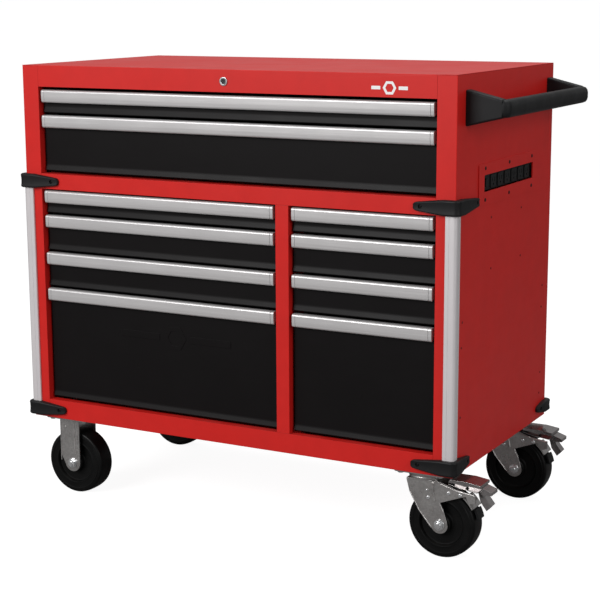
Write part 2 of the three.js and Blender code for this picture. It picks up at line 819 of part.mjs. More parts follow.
// The swivelling half: the crown under the race, two raked legs and the cheeks that carry the brake pedal.
function swivelFork(x, y) {
  const axleX = x + fork.trail;
  const crownLow = crownTop - fork.crownThickness;
  const half = fork.crownHalf;
  const leg = [
    [x - half, crownTop],
    [x - 27, floorZ - 50],
    [x - 6, floorZ - 88],
    ...arc(axleX, axleZ, fork.capRadius, Math.PI * 1.2, Math.PI * 2, 9),
    [x + 50, floorZ - 80],
    [x + 40, floorZ - 58],
    [x + half, crownTop],
  ];
  const cheek = [
    [x + 20, crownTop],
    [x + 24, floorZ - 64],
    [x + 42, floorZ - 66],
    [x + 86, floorZ - 49],
    [x + 101, floorZ - 44],
    [x + 107, floorZ - 59],
    [x + 122, floorZ - 56],
    [x + 122, floorZ - 38],
    [x + 82, floorZ - 33],
    [x + 42, crownTop],
  ];
  const crown = box(x - half, x + half, y - legOutside, y + legOutside, crownLow, crownTop);
  const pinHole = rodZ(fork.kingpin.radius + GAP, crownLow - OVER, crownTop + OVER, x, y, 16);
  const axleHole = rodY(axle.radius + GAP, y - legOutside - OVER, y + legOutside + OVER, axleX, axleZ, 20);
  return cut(join(crown, ...legs(leg, y), ...legs(cheek, y)), pinHole, axleHole);
}

// The foot lever, drawn from the swivel axis and down from the cabinet's underside: a broad plate on top, a
// lower lip beyond it and the release tab, on a tube across the cheeks.
function brakePedal(x, y) {
  const shape = (points, width) =>
    prismY(points.map(([a, b]) => [x + a, floorZ - b]), y - width / 2, y + width / 2);
  const { pivot } = pedal;
  const top = shape([[58, 21], [130, 25], [130, 19], [100, 15], [60, 15]], pedal.topWidth);
  const arm = shape([[70, 20], [104, 22], [88, 36], [84, 43], [75, 42]], pedal.armWidth);
  const lip = shape([[100, 30], [130, 41], [151, 40], [151, 33], [112, 20], [98, 20]], pedal.lipWidth);
  const tab = shape([[118, 34], [124, 58], [138, 76], [149, 64], [136, 48], [132, 34]], pedal.tabWidth);
  const tube = rodY(
    pivot.radius, y - legInside + GAP, y + legInside - GAP,
    x + pivot.along, floorZ - pivot.below, 16,
  );
  return join(top, arm, lip, tab, tube);
}

const ends = { front: caster.fromFront, rear: body.depth - caster.fromFront };
for (const [end, y] of Object.entries(ends)) {
  const left = caster.inset;
  add(`${end}_left_fork`, rigidFork(left, y), material.zinc);
  add(`${end}_left_wheel`, casterWheel(left + fork.rigidTrail, y), material.rubber);
  add(`${end}_left_axle`, axleBolt(left + fork.rigidTrail, y), material.zinc);

  const right = body.width - caster.inset;
  add(`${end}_right_swivel_plate`, swivelPlate(right, y), material.zinc);
  add(`${end}_right_fork`, swivelFork(right, y), material.zinc);
  add(`${end}_right_wheel`, casterWheel(right + fork.trail, y), material.rubber);
  add(`${end}_right_axle`, axleBolt(right + fork.trail, y), material.zinc);
  add(`${end}_right_brake_pedal`, brakePedal(right, y), material.zinc);
}

// ---------------------------------------------------------------- the chest in its own frame
const overall = { left: -bumper.proud, right: body.width + handle.reach };
chest.position.set(-(overall.left + overall.right) / 2, -body.depth / 2, 0);

export default chest;
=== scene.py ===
# Looks of a rolling tool chest: powder coated cabinet and drawers, aluminium pulls and corner posts,
# moulded bumpers and push handle, and plated casters.
# Metres, +Z up. The drawer fronts face -Y, and the push handle is at +X.
import json
import math

import bmesh
import bpy
from mathutils import Matrix, Vector


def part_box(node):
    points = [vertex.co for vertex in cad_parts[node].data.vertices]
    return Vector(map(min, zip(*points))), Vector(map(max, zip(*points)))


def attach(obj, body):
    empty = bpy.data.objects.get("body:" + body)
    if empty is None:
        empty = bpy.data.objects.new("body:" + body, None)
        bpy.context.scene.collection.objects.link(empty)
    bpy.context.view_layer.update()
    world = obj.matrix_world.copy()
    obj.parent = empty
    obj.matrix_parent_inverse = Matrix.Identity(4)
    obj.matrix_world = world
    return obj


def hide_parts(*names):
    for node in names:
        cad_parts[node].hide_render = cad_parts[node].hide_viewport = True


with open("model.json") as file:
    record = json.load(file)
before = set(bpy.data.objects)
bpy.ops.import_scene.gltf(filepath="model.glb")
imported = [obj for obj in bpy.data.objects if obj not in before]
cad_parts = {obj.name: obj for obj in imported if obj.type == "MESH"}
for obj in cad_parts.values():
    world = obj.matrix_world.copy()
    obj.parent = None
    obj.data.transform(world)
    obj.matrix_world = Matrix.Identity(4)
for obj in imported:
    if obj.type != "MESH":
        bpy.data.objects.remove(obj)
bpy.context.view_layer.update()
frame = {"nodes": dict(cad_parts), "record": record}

MM = 0.001
X, Y, Z = Vector((1, 0, 0)), Vector((0, 1, 0)), Vector((0, 0, 1))
bodies_of = {node: body for body, nodes in frame["record"]["behaviour"]["bodies"].items() for node in nodes}


def box_of(node_name):
    """The two corners of a CAD node, as vectors."""
    return [Vector(corner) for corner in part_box(node_name)]


def middle_of(node_name):
    low, high = box_of(node_name)
    return (low + high) / 2


# The cabinet's body without what stands out of it, taken from its lid and its floor.
lid_low, lid_high = box_of("top_panel")
LEFT, RIGHT, FRONT, BACK, TOP = lid_low.x, lid_high.x, lid_low.y, lid_high.y, lid_high.z
UNDER = box_of("bottom_pan")[0].z
MIDDLE_X, MIDDLE_Y = (LEFT + RIGHT) / 2, (FRONT + BACK) / 2


def near(value, wanted, reach=0.3 * MM):
    return abs(value - wanted) < reach


# ---------------------------------------------------------------- camera
CAMERA_PLACE = (1.6714, -3.1090, 1.1761)
CAMERA_AZIMUTH, CAMERA_ELEVATION, CAMERA_ROLL = 28.40, 11.31, -0.27
CAMERA_LENS = 93.0


def add_camera():
    """The camera stands in front of the push handle's end and looks a little down."""
    azimuth, elevation, roll = map(math.radians, (CAMERA_AZIMUTH, CAMERA_ELEVATION, CAMERA_ROLL))
    back = Vector((math.sin(azimuth) * math.cos(elevation), -math.cos(azimuth) * math.cos(elevation),
                   math.sin(elevation)))
    level = Z.cross(back).normalized()
    upright = back.cross(level)
    right = math.cos(roll) * level + math.sin(roll) * upright
    up = math.cos(roll) * upright - math.sin(roll) * level
    camera = bpy.data.objects.new("camera", bpy.data.cameras.new("camera"))
    bpy.context.scene.collection.objects.link(camera)
    turn = Matrix((right, up, back)).transposed().to_4x4()
    camera.matrix_world = Matrix.Translation(CAMERA_PLACE) @ turn
    camera.data.lens = CAMERA_LENS
    bpy.context.scene.camera = camera


# ---------------------------------------------------------------- bench: how pieces are made
def alone(piece):
    """Makes the piece the only selected one."""
    if bpy.context.mode != "OBJECT":
        bpy.ops.object.mode_set(mode="OBJECT")
    bpy.ops.object.select_all(action="DESELECT")
    piece.select_set(True)
    bpy.context.view_layer.objects.active = piece
    return piece


def open_mesh(piece):
    """Goes into edit mode with the whole piece selected."""
    alone(piece)
    bpy.ops.object.mode_set(mode="EDIT")
    bpy.ops.mesh.select_all(action="SELECT")


def close_mesh():
    bpy.ops.object.mode_set(mode="OBJECT")
    return bpy.context.object


def clear_bench():
    if bpy.context.mode != "OBJECT":
        bpy.ops.object.mode_set(mode="OBJECT")
    bpy.ops.object.select_all(action="DESELECT")


def settle(name):
    """Names the new primitive and puts its place and turn into its mesh."""
    piece = bpy.context.object
    piece.name = piece.data.name = name
    bpy.ops.object.transform_apply(location=True, rotation=True, scale=True)
    return piece


def block(name, low, high):
    low, high = Vector(low), Vector(high)
    clear_bench()
    bpy.ops.mesh.primitive_cube_add(size=1, location=(low + high) / 2, scale=high - low)
    return settle(name)


def rod(name, start, end, radius, sides=32, tip=None):
    """A round bar between two points. tip is its radius at the end, if it tapers."""
    start, end = Vector(start), Vector(end)
    clear_bench()
    turn = Z.rotation_difference((end - start).normalized()).to_euler()
    bpy.ops.mesh.primitive_cone_add(vertices=sides, radius1=radius, radius2=radius if tip is None else tip,
                                    depth=(end - start).length, location=(start + end) / 2, rotation=turn)
    return settle(name)


def drawn(name, points):
    """An outline drawn from point to point, in edit mode, all selected and not yet closed."""
    points = [Vector(point) for point in points]
    clear_bench()
    bpy.ops.mesh.primitive_plane_add(size=MM, location=points[0])
    settle(name)
    bpy.ops.object.mode_set(mode="EDIT")
    bpy.ops.mesh.select_all(action="SELECT")
    bpy.ops.mesh.merge(type="CENTER")
    for here, there in zip(points, points[1:]):
        bpy.ops.mesh.extrude_vertices_move(TRANSFORM_OT_translate={"value": there - here})
    bpy.ops.mesh.select_all(action="SELECT")


def section(name, points, along):
    """A closed outline pushed out along a vector."""
    drawn(name, points)
    bpy.ops.mesh.edge_face_add()
    bpy.ops.mesh.extrude_region_move(TRANSFORM_OT_translate={"value": Vector(along)})
    bpy.ops.mesh.select_all(action="SELECT")
    bpy.ops.mesh.normals_make_consistent(inside=False)
    return close_mesh()


def spun(name, points, centre, axis, steps=64, ring=True):
    """An outline spun right round an axis. ring closes it; without it both its ends are on the axis."""
    drawn(name, points)
    if ring:
        bpy.ops.mesh.edge_face_add()
        bpy.ops.mesh.delete(type="ONLY_FACE")
        bpy.ops.mesh.select_all(action="SELECT")
    bpy.ops.mesh.spin(steps=steps, angle=math.tau, center=centre, axis=axis)
    bpy.ops.mesh.select_all(action="SELECT")
    bpy.ops.mesh.remove_doubles(threshold=MM * 0.002)
    bpy.ops.mesh.normals_make_consistent(inside=False)
    return close_mesh()


def arc(centre, radius, start, end, steps):
    """Points on part of a circle, in degrees, as pairs."""
    turns = [math.radians(start + (end - start) * i / steps) for i in range(steps + 1)]
    return [(centre[0] + radius * math.cos(t), centre[1] + radius * math.sin(t)) for t in turns]


def apply_modifiers(piece):
    alone(piece)
    for modifier in list(piece.modifiers):
        bpy.ops.object.modifier_apply(modifier=modifier.name)
    return piece


def softened(piece, width, segments=2, angle=30):
    """Rounds every edge that turns by more than the angle."""
    bevel = piece.modifiers.new("rounding", "BEVEL")
    bevel.width, bevel.segments, bevel.limit_method = width, segments, "ANGLE"
    bevel.angle_limit = math.radians(angle)
    return apply_modifiers(piece)


def carved(piece, *cutters):
    """Cuts the other pieces out of this one."""
    for cutter in cutters:
        cut = piece.modifiers.new("cut", "BOOLEAN")
        cut.operation, cut.solver, cut.object = "DIFFERENCE", "EXACT", cutter
        apply_modifiers(piece)
        bpy.data.objects.remove(cutter)
    return piece


def joined(name, pieces):
    """Several loose parts as one piece."""
    alone(pieces[0])
    for piece in pieces:
        piece.select_set(True)
    if len(pieces) > 1:
        bpy.ops.object.join()
    pieces[0].name = pieces[0].data.name = name
    return pieces[0]


def moved_copy(piece, name, offset):
    """A second one like it, with its own mesh, somewhere else."""
    alone(piece)
    bpy.ops.object.duplicate()
    bpy.ops.transform.translate(value=Vector(offset))
    return settle(name)


def mirrored_copy(piece, name, axis, about):
    """Its mirror image across the plane at about along the axis 0, 1 or 2."""
    alone(piece)
    bpy.ops.object.duplicate()
    twin = bpy.context.object
    twin.scale[axis] = -1
    twin.location[axis] = 2 * about
    settle(name)
    open_mesh(twin)
    bpy.ops.mesh.normals_make_consistent(inside=False)
    return close_mesh()


def select_where(kind, test):
    """In edit mode, selects the faces or edges whose middle, and normal or direction, pass the test."""
    bpy.ops.mesh.select_all(action="DESELECT")
    bpy.ops.mesh.select_mode(type=kind)
    mesh = bmesh.from_edit_mesh(bpy.context.object.data)
    for part in mesh.faces if kind == "FACE" else mesh.edges:
        if kind == "FACE":
            middle, way = part.calc_center_median(), part.normal
        else:
            ends = [vertex.co for vertex in part.verts]
            middle, way = (ends[0] + ends[1]) / 2, ends[1] - ends[0]
        part.select_set(test(middle, way))
    bmesh.update_edit_mesh(bpy.context.object.data)


def copy_of(node, name):
    """A copy of a CAD node to work on, with its triangles joined and its flat faces made whole."""
    source = frame["nodes"][node]
    piece = bpy.data.objects.new(name, source.data.copy())
    piece.data.name = name
    bpy.context.scene.collection.objects.link(piece)
    open_mesh(piece)
    bpy.ops.mesh.remove_doubles(threshold=MM * 0.01)
    bpy.ops.mesh.customdata_custom_splitnormals_clear()
    bpy.ops.mesh.dissolve_limited(angle_limit=math.radians(1))
    piece = close_mesh()
    piece.data.materials.clear()
    return piece


def rounded_where(piece, width, test, segments=3):
    """Rounds the edges whose middle and direction pass the test."""
    open_mesh(piece)
    select_where("EDGE", test)
    bpy.ops.mesh.bevel(offset=width, segments=segments, affect="EDGES")
    bpy.ops.mesh.select_mode(type="VERT")
    return close_mesh()


def hollowed(piece, wall, depth):
    """Sinks a pocket of that depth into the top of a block, and leaves the wall round it."""
    open_mesh(piece)
    select_where("FACE", lambda middle, way: way.z > 0.9)
    bpy.ops.mesh.inset(thickness=wall, use_even_offset=True)
    bpy.ops.mesh.extrude_region_move(TRANSFORM_OT_translate={"value": -depth * Z})
    bpy.ops.mesh.select_mode(type="VERT")
    return close_mesh()


def plate(name, low, high, corner, axis, ease=0.3 * MM):
    """A plate across an axis, with round corners and eased edges."""
    piece = block(name, low, high)
    rounded_where(piece, corner, lambda middle, way: abs(way.normalized()[axis]) > 0.9, segments=5)
    return softened(piece, ease)


def dome(name, place, way, radius, height, sides=20):
    """A round head on a surface: it stands out along way."""
    place, way = Vector(place), Vector(way)
    piece = rod(name, place - way * MM, place + way * height, radius, sides, tip=radius * 0.9)
    return softened(piece, height * 0.6, segments=3, angle=50)


def finished(piece, finish, *nodes, body=None, smooth=40, slot=None):
    """Shades a piece, gives it its material, parents it to its body's empty, and hides the CAD nodes it
    replaces.
    """
    alone(piece)
    bpy.ops.object.shade_smooth_by_angle(angle=math.radians(smooth))
    weigh = piece.modifiers.new("flat faces stay flat", "WEIGHTED_NORMAL")
    weigh.keep_sharp = True
    apply_modifiers(piece)
    piece.data.materials.clear()
    piece.data.materials.append(finish)
    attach(piece, body or bodies_of[nodes[0]])
    if nodes:
        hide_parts(*nodes)
    return piece


# ---------------------------------------------------------------- effects that materials share
def new_group(name, inputs, outputs):
    group = bpy.data.node_groups.new(name, "ShaderNodeTree")
    for label, value in inputs.items():
        made = group.interface.new_socket(label, in_out="INPUT", socket_type="NodeSocketFloat")
        made.default_value = value
    for label, kind in outputs.items():
        group.interface.new_socket(label, in_out="OUTPUT", socket_type=kind)
    return group, group.nodes.new("NodeGroupInput"), group.nodes.new("NodeGroupOutput")


def node(tree, kind, **settings):
    made = tree.nodes.new("ShaderNode" + kind)
    for key, value in settings.items():
        if key in made.inputs:
            made.inputs[key].default_value = value
        else:
            setattr(made, key, value)
    return made


def feed(tree, value, socket):
    """Gives a socket another node's output, or a number or colour of its own."""
    if isinstance(value, bpy.types.NodeSocket):
        tree.links.new(value, socket)
    else:
        socket.default_value = value


def reckon(tree, operation, *values):
    """A math node. A value can be a number or another node's output."""
    made = node(tree, "Math", operation=operation)
    for value, socket in zip(values, made.inputs):
        feed(tree, value, socket)
    return made.outputs[0]


def ramp(tree, value, low, high):
    """0 below low, 1 above high, smooth between."""
    made = node(tree, "MapRange", interpolation_type="SMOOTHSTEP")
    for label, number in (("Value", value), ("From Min", low), ("From Max", high)):
        feed(tree, number, made.inputs[label])
    return made.outputs["Result"]


def noise(tree, scale, detail=3, stretch=None, roughness=0.55):
    """Noise over the piece, in features per metre. stretch scales it along X, Y and Z."""
    coordinates = node(tree, "TexCoord").outputs["Object"]
    if stretch:
        mapping = node(tree, "Mapping", Scale=stretch)
        tree.links.new(coordinates, mapping.inputs["Vector"])
        coordinates = mapping.outputs["Vector"]
    made = node(tree, "TexNoise", Detail=detail, Roughness=roughness)
    tree.links.new(coordinates, made.inputs["Vector"])
    feed(tree, scale, made.inputs["Scale"])
    return made.outputs["Fac"]


def make_grain():
    """The fine pebbled surface of a coat or a moulding."""
    group, given, out = new_group("fine_grain", {"Pitch": 700.0, "Mottle": 60.0},
                                  {"Height": "NodeSocketFloat", "Tone": "NodeSocketFloat"})
    fine = noise(group, given.outputs["Pitch"], detail=2)
    broad = noise(group, given.outputs["Mottle"], detail=3)
    height = reckon(group, "MULTIPLY_ADD", fine, 0.75, reckon(group, "MULTIPLY", broad, 0.25))
    group.links.new(height, out.inputs["Height"])
    group.links.new(reckon(group, "SUBTRACT", broad, 0.5), out.inputs["Tone"])
    return group


def make_handling():
    """Where hands and cloths have been: soft patches with faint streaks."""
    group, given, out = new_group("handling", {"Size": 5.0}, {"Patches": "NodeSocketFloat"})
    patches = noise(group, given.outputs["Size"], detail=4, roughness=0.6)
    streaks = noise(group, 9.0, detail=5, stretch=(1.0, 1.0, 7.0), roughness=0.7)
    mixed = reckon(group, "MULTIPLY_ADD", patches, 0.7, reckon(group, "MULTIPLY", streaks, 0.3))
    group.links.new(ramp(group, mixed, 0.40, 0.62), out.inputs["Patches"])
    return group


def make_edge_rub():
    """Rubbed corners: the outer edges, broken up by noise."""
    group, given, out = new_group("edge_rub", {"Reach": 0.5}, {"Rub": "NodeSocketFloat"})
    sharpness = node(group, "NewGeometry").outputs["Pointiness"]
    start = reckon(group, "SUBTRACT", 0.62, reckon(group, "MULTIPLY", given.outputs["Reach"], 0.08))
    edge = ramp(group, sharpness, start, reckon(group, "ADD", start, 0.06))
    broken = ramp(group, noise(group, 120.0, detail=4), 0.42, 0.64)
    group.links.new(reckon(group, "MULTIPLY", edge, broken), out.inputs["Rub"])
    return group


def make_dust():
    """Dust that lies on what faces up, thinner in patches."""
    group, given, out = new_group("dust", {"Cover": 0.3}, {"Dust": "NodeSocketFloat"})
    facing = node(group, "SeparateXYZ")
    group.links.new(node(group, "NewGeometry").outputs["Normal"], facing.inputs[0])
    lying = ramp(group, facing.outputs["Z"], 0.55, 0.98)
    patchy = ramp(group, noise(group, 14.0, detail=6, roughness=0.65), 0.38, 0.75)
    amount = reckon(group, "MULTIPLY", reckon(group, "MULTIPLY", lying, patchy), given.outputs["Cover"])
    group.links.new(amount, out.inputs["Dust"])
    return group


def make_brushing():
    """Long fine lines of a brushed or drawn metal along one axis."""
    group, given, out = new_group("brushing", {"Along X": 1.0, "Along Z": 0.0},
                                  {"Lines": "NodeSocketFloat"})
    along_x = noise(group, 1.0, detail=3, stretch=(6.0, 2200.0, 2200.0))
    along_z = noise(group, 1.0, detail=3, stretch=(2200.0, 2200.0, 6.0))
    mixed = reckon(group, "MULTIPLY_ADD", along_x, given.outputs["Along X"],
                   reckon(group, "MULTIPLY", along_z, given.outputs["Along Z"]))
    group.links.new(mixed, out.inputs["Lines"])
    return group


def make_plating():
    """The cloudy crystals of a zinc plated surface."""
    group, given, out = new_group("plating", {"Crystal": 260.0}, {"Tone": "NodeSocketFloat"})
    cells = node(group, "TexVoronoi", feature="F1")
    group.links.new(node(group, "TexCoord").outputs["Object"], cells.inputs["Vector"])
    group.links.new(given.outputs["Crystal"], cells.inputs["Scale"])
    grey = node(group, "SeparateColor")
    group.links.new(cells.outputs["Color"], grey.inputs[0])
    cloud = noise(group, 38.0, detail=4)
    tone = reckon(group, "MULTIPLY_ADD", grey.outputs[0], 0.35, reckon(group, "MULTIPLY", cloud, 0.65))
    group.links.new(tone, out.inputs["Tone"])
    return group


GRAIN, HANDLING, EDGE_RUB = make_grain(), make_handling(), make_edge_rub()
DUST, BRUSHING, PLATING = make_dust(), make_brushing(), make_plating()


# ---------------------------------------------------------------- materials
class Finish:
    """A material while it is being mixed."""

    def __init__(self, name):
        self.material = bpy.data.materials.new(name)
        self.material.use_nodes = True
        self.tree = self.material.node_tree
        self.shader = self.tree.nodes["Principled BSDF"]

    def effect(self, group, **settings):
        made = self.tree.nodes.new("ShaderNodeGroup")
        made.node_tree = group
        for label, value in settings.items():
            made.inputs[label.replace("_", " ")].default_value = value
        return made.outputs

    def blend(self, share, first, second):
        """A colour that goes from the first to the second as share goes from 0 to 1."""
        made = node(self.tree, "Mix", data_type="RGBA")
        self.tree.links.new(share, made.inputs["Factor"])
        for place, colour in ((6, first), (7, second)):
            feed(self.tree, (*colour, 1) if isinstance(colour, tuple) else colour, made.inputs[place])
        return made.outputs[2]

    def colour(self, output):
        self.tree.links.new(output, self.shader.inputs["Base Color"])

    def rough(self, output):
        self.tree.links.new(output, self.shader.inputs["Roughness"])

    def reckon(self, *values):
        return reckon(self.tree, *values)

    def handled(self, size, change, roughness):
        """Roughness that is a little higher in soft patches of that size."""
        patches = self.effect(HANDLING, Size=size)["Patches"]
        return self.reckon("MULTIPLY_ADD", patches, change, roughness)

    def dusty(self, cover, clean, dust):
        return self.blend(self.effect(DUST, Cover=cover)["Dust"], clean, dust)

    def rubbed(self, reach, whole, worn):
        return self.blend(self.effect(EDGE_RUB, Reach=reach)["Rub"], whole, worn)

    def bump(self, height, depth):
        made = node(self.tree, "Bump", Strength=1.0, Distance=depth)
        self.tree.links.new(height, made.inputs["Height"])
        self.tree.links.new(made.outputs["Normal"], self.shader.inputs["Normal"])

    def constants(self, **values):
        for label, value in values.items():
            self.shader.inputs[label.replace("_", " ")].default_value = value
        return self.material


def powder_coat(name, colour, roughness, grain_depth, shine, dust=0.04):
    """Powder coated sheet: pebbled, a little uneven in tone and gloss, faintly dusty where it faces up."""
    finish = Finish(name)
    grain = finish.effect(GRAIN, Pitch=420.0, Mottle=22.0)
    deep = tuple(channel * 0.94 for channel in colour)
    light = tuple(min(channel * 1.05, 1) for channel in colour)
    tone = finish.reckon("MULTIPLY_ADD", grain["Tone"], 1.6, 0.5)
    finish.colour(finish.dusty(dust, finish.blend(tone, deep, light), (0.55, 0.52, 0.49)))
    finish.rough(finish.handled(4.0, 0.05, roughness))
    finish.bump(grain["Height"], grain_depth)
    return finish.constants(Metallic=0.0, Specular_IOR_Level=shine)


def drawn_aluminium(name, along_x, along_z, metallic, dull, bright):
    """Satin anodised extrusion with faint lines along its length."""
    finish = Finish(name)
    lines = finish.effect(BRUSHING, Along_X=along_x, Along_Z=along_z)["Lines"]
    finish.colour(finish.blend(ramp(finish.tree, lines, 0.3, 0.7), dull, bright))
    finish.rough(finish.reckon("MULTIPLY_ADD", lines, 0.08, finish.handled(7.0, 0.05, 0.30)))
    finish.bump(lines, 0.00002)
    return finish.constants(Metallic=metallic)


def moulding(name, colour, roughness, shine, pitch=900.0, depth=0.00012):
    """Moulded plastic or rubber with a fine grained skin and scuffed edges."""
    finish = Finish(name)
    grain = finish.effect(GRAIN, Pitch=pitch, Mottle=35.0)
    pale = tuple(channel * 1.35 + 0.001 for channel in colour)
    skin = finish.blend(finish.reckon("MULTIPLY_ADD", grain["Tone"], 1.5, 0.4), colour, pale)
    skin = finish.rubbed(0.8, skin, tuple(channel + 0.02 for channel in colour))
    finish.colour(finish.dusty(0.04, skin, (0.30, 0.28, 0.26)))
    finish.rough(finish.handled(16.0, 0.10, roughness))
    finish.bump(grain["Height"], depth)
    return finish.constants(Specular_IOR_Level=shine)


def plated_steel(name, dark, light, roughness):
    """Plated pressings and bolts: cloudy, slightly dull, brighter on their edges."""
    finish = Finish(name)
    tone = finish.effect(PLATING, Crystal=300.0)["Tone"]
    skin = finish.blend(ramp(finish.tree, tone, 0.25, 0.75), dark, light)
    finish.colour(finish.rubbed(0.7, skin, tuple(min(channel * 1.25, 1) for channel in light)))
    finish.rough(finish.handled(30.0, 0.10, roughness))
    grain = finish.effect(GRAIN, Pitch=1300.0, Mottle=90.0)
    finish.bump(grain["Height"], 0.00004)
    return finish.constants(Metallic=0.9)


RED_COAT = powder_coat("red_powder_coat", (0.56, 0.013, 0.010), 0.40, 0.00006, 0.26)
# A darker copy of the red coat for the rivet heads: painted shade for the dark dots they show on the
# cabinet's ends.
RIVET_SHADE_COAT = powder_coat("rivet_red_coat", (0.14, 0.004, 0.004), 0.42, 0.00004, 0.3)
BLACK_COAT = powder_coat("black_powder_coat", (0.0040, 0.0031, 0.0033), 0.42, 0.00006, 0.12, dust=0.008)
WHITE_INK = powder_coat("white_ink", (0.80, 0.80, 0.80), 0.45, 0.00002, 0.3)
PULL_METAL = drawn_aluminium("pull_aluminium", 1.0, 0.0, 0.45, (0.52, 0.505, 0.505), (0.60, 0.585, 0.585))
POST_METAL = drawn_aluminium("post_aluminium", 0.0, 1.0, 0.35, (0.66, 0.625, 0.635), (0.72, 0.685, 0.695))
PLASTIC = moulding("bumper_plastic", (0.0052, 0.0053, 0.0058), 0.46, 0.22)
# Black for the bumper screws; the same black is painted shade on the outlet strip's screw heads and on the
# block behind the swivel wheels.
DARK_PLASTIC_AND_SHADE = moulding("dark_plastic_and_painted_shade", (0.0040, 0.0042, 0.0045), 0.40, 0.2)
RUBBER = moulding("wheel_rubber", (0.0020, 0.0020, 0.0020), 0.38, 0.15, pitch=500.0, depth=0.00005)
ZINC = plated_steel("zinc_plate", (0.40, 0.385, 0.375), (0.50, 0.485, 0.475), 0.27)
PEDAL_ZINC = plated_steel("pedal_plate", (0.30, 0.28, 0.28), (0.38, 0.36, 0.355), 0.12)
BRIGHT = plated_steel("bright_plate", (0.66, 0.67, 0.68), (0.85, 0.86, 0.87), 0.12)
# Near black for the lock plug: painted shade for the shaded centre of the lock.
PLUG_SHADE_STEEL = plated_steel("plug_steel_painted_shade", (0.030, 0.030, 0.032), (0.060, 0.060, 0.064), 0.35)


# ---------------------------------------------------------------- cabinet
FOLD = 1.6 * MM  # radius of the sheet's visible folds
EDGE = 0.25 * MM  # how far its cut edges are eased


def is_front_fold(middle, way):
    """The upright edge where a side panel turns into its stile."""
    upright = way.length > 100 * MM and abs(way.normalized().z) > 0.99
    return upright and near(middle.y, FRONT) and (near(middle.x, LEFT) or near(middle.x, RIGHT))


def side_panel(node_name):
    piece = rounded_where(copy_of(node_name, node_name + "_sheet"), FOLD, is_front_fold)
    finished(softened(piece, EDGE), RED_COAT, node_name)


def long_front_edge(level):
    """A test for the edge along the cabinet's front at one level."""
    return lambda middle, way: way.length > 100 * MM and near(middle.y, FRONT) and near(middle.z, level)


def lid():
    piece = rounded_where(copy_of("top_panel", "lid_sheet"), 1.0 * MM, long_front_edge(TOP))
    finished(softened(piece, 0.3 * MM), RED_COAT, "top_panel")


def pan():
    piece = rounded_where(copy_of("bottom_pan", "pan_sheet"), FOLD * 0.6, long_front_edge(UNDER))
    finished(softened(piece, EDGE), RED_COAT, "bottom_pan")


def partition():
    """The mullion and its web are painted, and what is riveted to the web is plated."""
    piece = finished(softened(copy_of("centre_partition", "partition_sheet"), EDGE), RED_COAT,
                     "centre_partition")
    piece.data.materials.append(ZINC)
    web_x, slide_start = middle_of("centre_partition").x, FRONT + 29 * MM
    for face in piece.data.polygons:
        if face.center.y > slide_start and not near(face.center.x, web_x, 2 * MM):
            face.material_index = 1


def plain_sheet(node_name):
    finished(softened(copy_of(node_name, node_name + "_sheet"), EDGE), RED_COAT, node_name)


def slide_rails(node_name):
    finished(softened(copy_of(node_name, node_name + "_steel"), EDGE), ZINC, node_name)


lid()
pan()
partition()
side_panel("left_side_panel")
side_panel("right_side_panel")
plain_sheet("back_panel")
plain_sheet("shelf_divider")
slide_rails("left_slide_rails")
slide_rails("right_slide_rails")

# Rivets in the cabinet's ends: how far behind the front and above the underside, in millimetres.
RIVETS = [(371, 516), (193, 517), (371, 409), (195, 408), (520, 317), (517, 267), (42, 320), (39, 267),
          (520, 111), (517, 62), (39, 120)]


def side_rivets():
    """The heads of the rivets that hold the uprights, on both ends, in a darker red that is painted shade.
    """
    first = dome("rivet", (RIGHT, FRONT, UNDER), X, 2.6 * MM, 1.0 * MM)
    heads = [moved_copy(first, "rivet_head", (0, y * MM, z * MM)) for y, z in RIVETS]
    bpy.data.objects.remove(first)
    right = joined("right_side_rivets", heads)
    left = mirrored_copy(right, "left_side_rivets", 0, MIDDLE_X)
    for piece in (right, left):
        # The darker red of these heads is painted shade.
        finished(piece, RIVET_SHADE_COAT, body="cabinet")


side_rivets()


# ---------------------------------------------------------------- generic mark and emboss
def mark_pieces(name, centre, hexagon, bar, height, thickness):
    """A hexagon outline with a bar on each side of it, lying on a plane across Y."""
    centre, hole, start = Vector(centre), 0.62, 1.35 * hexagon
    outer = arc((0, 0), hexagon, 0, 300, 5)
    ring = section(name + "_hexagon", [centre + Vector((a, 0, b)) for a, b in outer], -thickness * Y)
    inner = section("hole", [centre + Vector((a * hole, MM, b * hole)) for a, b in outer],
                    -(thickness + 2 * MM) * Y)
    parts = [carved(ring, inner)]
    for side in (-1, 1):
        low, high = sorted((side * start, side * (start + bar)))
        parts.append(block(name + "_bar", centre + Vector((low, -thickness, -height / 2)),
                           centre + Vector((high, 0, height / 2))))
    return joined(name, parts)


def front_mark():
    place = (LEFT + 920 * MM, FRONT, UNDER + 793 * MM)
    mark = mark_pieces("front_mark", place, 15 * MM, 20 * MM, 7 * MM, 0.25 * MM)
    finished(mark, WHITE_INK, body="cabinet")


front_mark()

# ---------------------------------------------------------------- drawers
SHEET = 1 * MM
FRONT_DEPTH = 10 * MM
LIP_HEIGHT, LIP_FLARE = 13 * MM, 3 * MM
TRAY_RISE, TRAY_DROP = 3 * MM, 8 * MM  # of the tray's floor and rim, from the front's lower and upper edge
TO_FRONT, TO_TRAY = 3.5 * MM, 8.5 * MM  # from the slide's outer edge, sideways
SLIDE_START, SLIDE_HALF, SLIDE_WALL = 15 * MM, 15.5 * MM, 1.5 * MM
SLIDE_LEVEL = 21 * MM


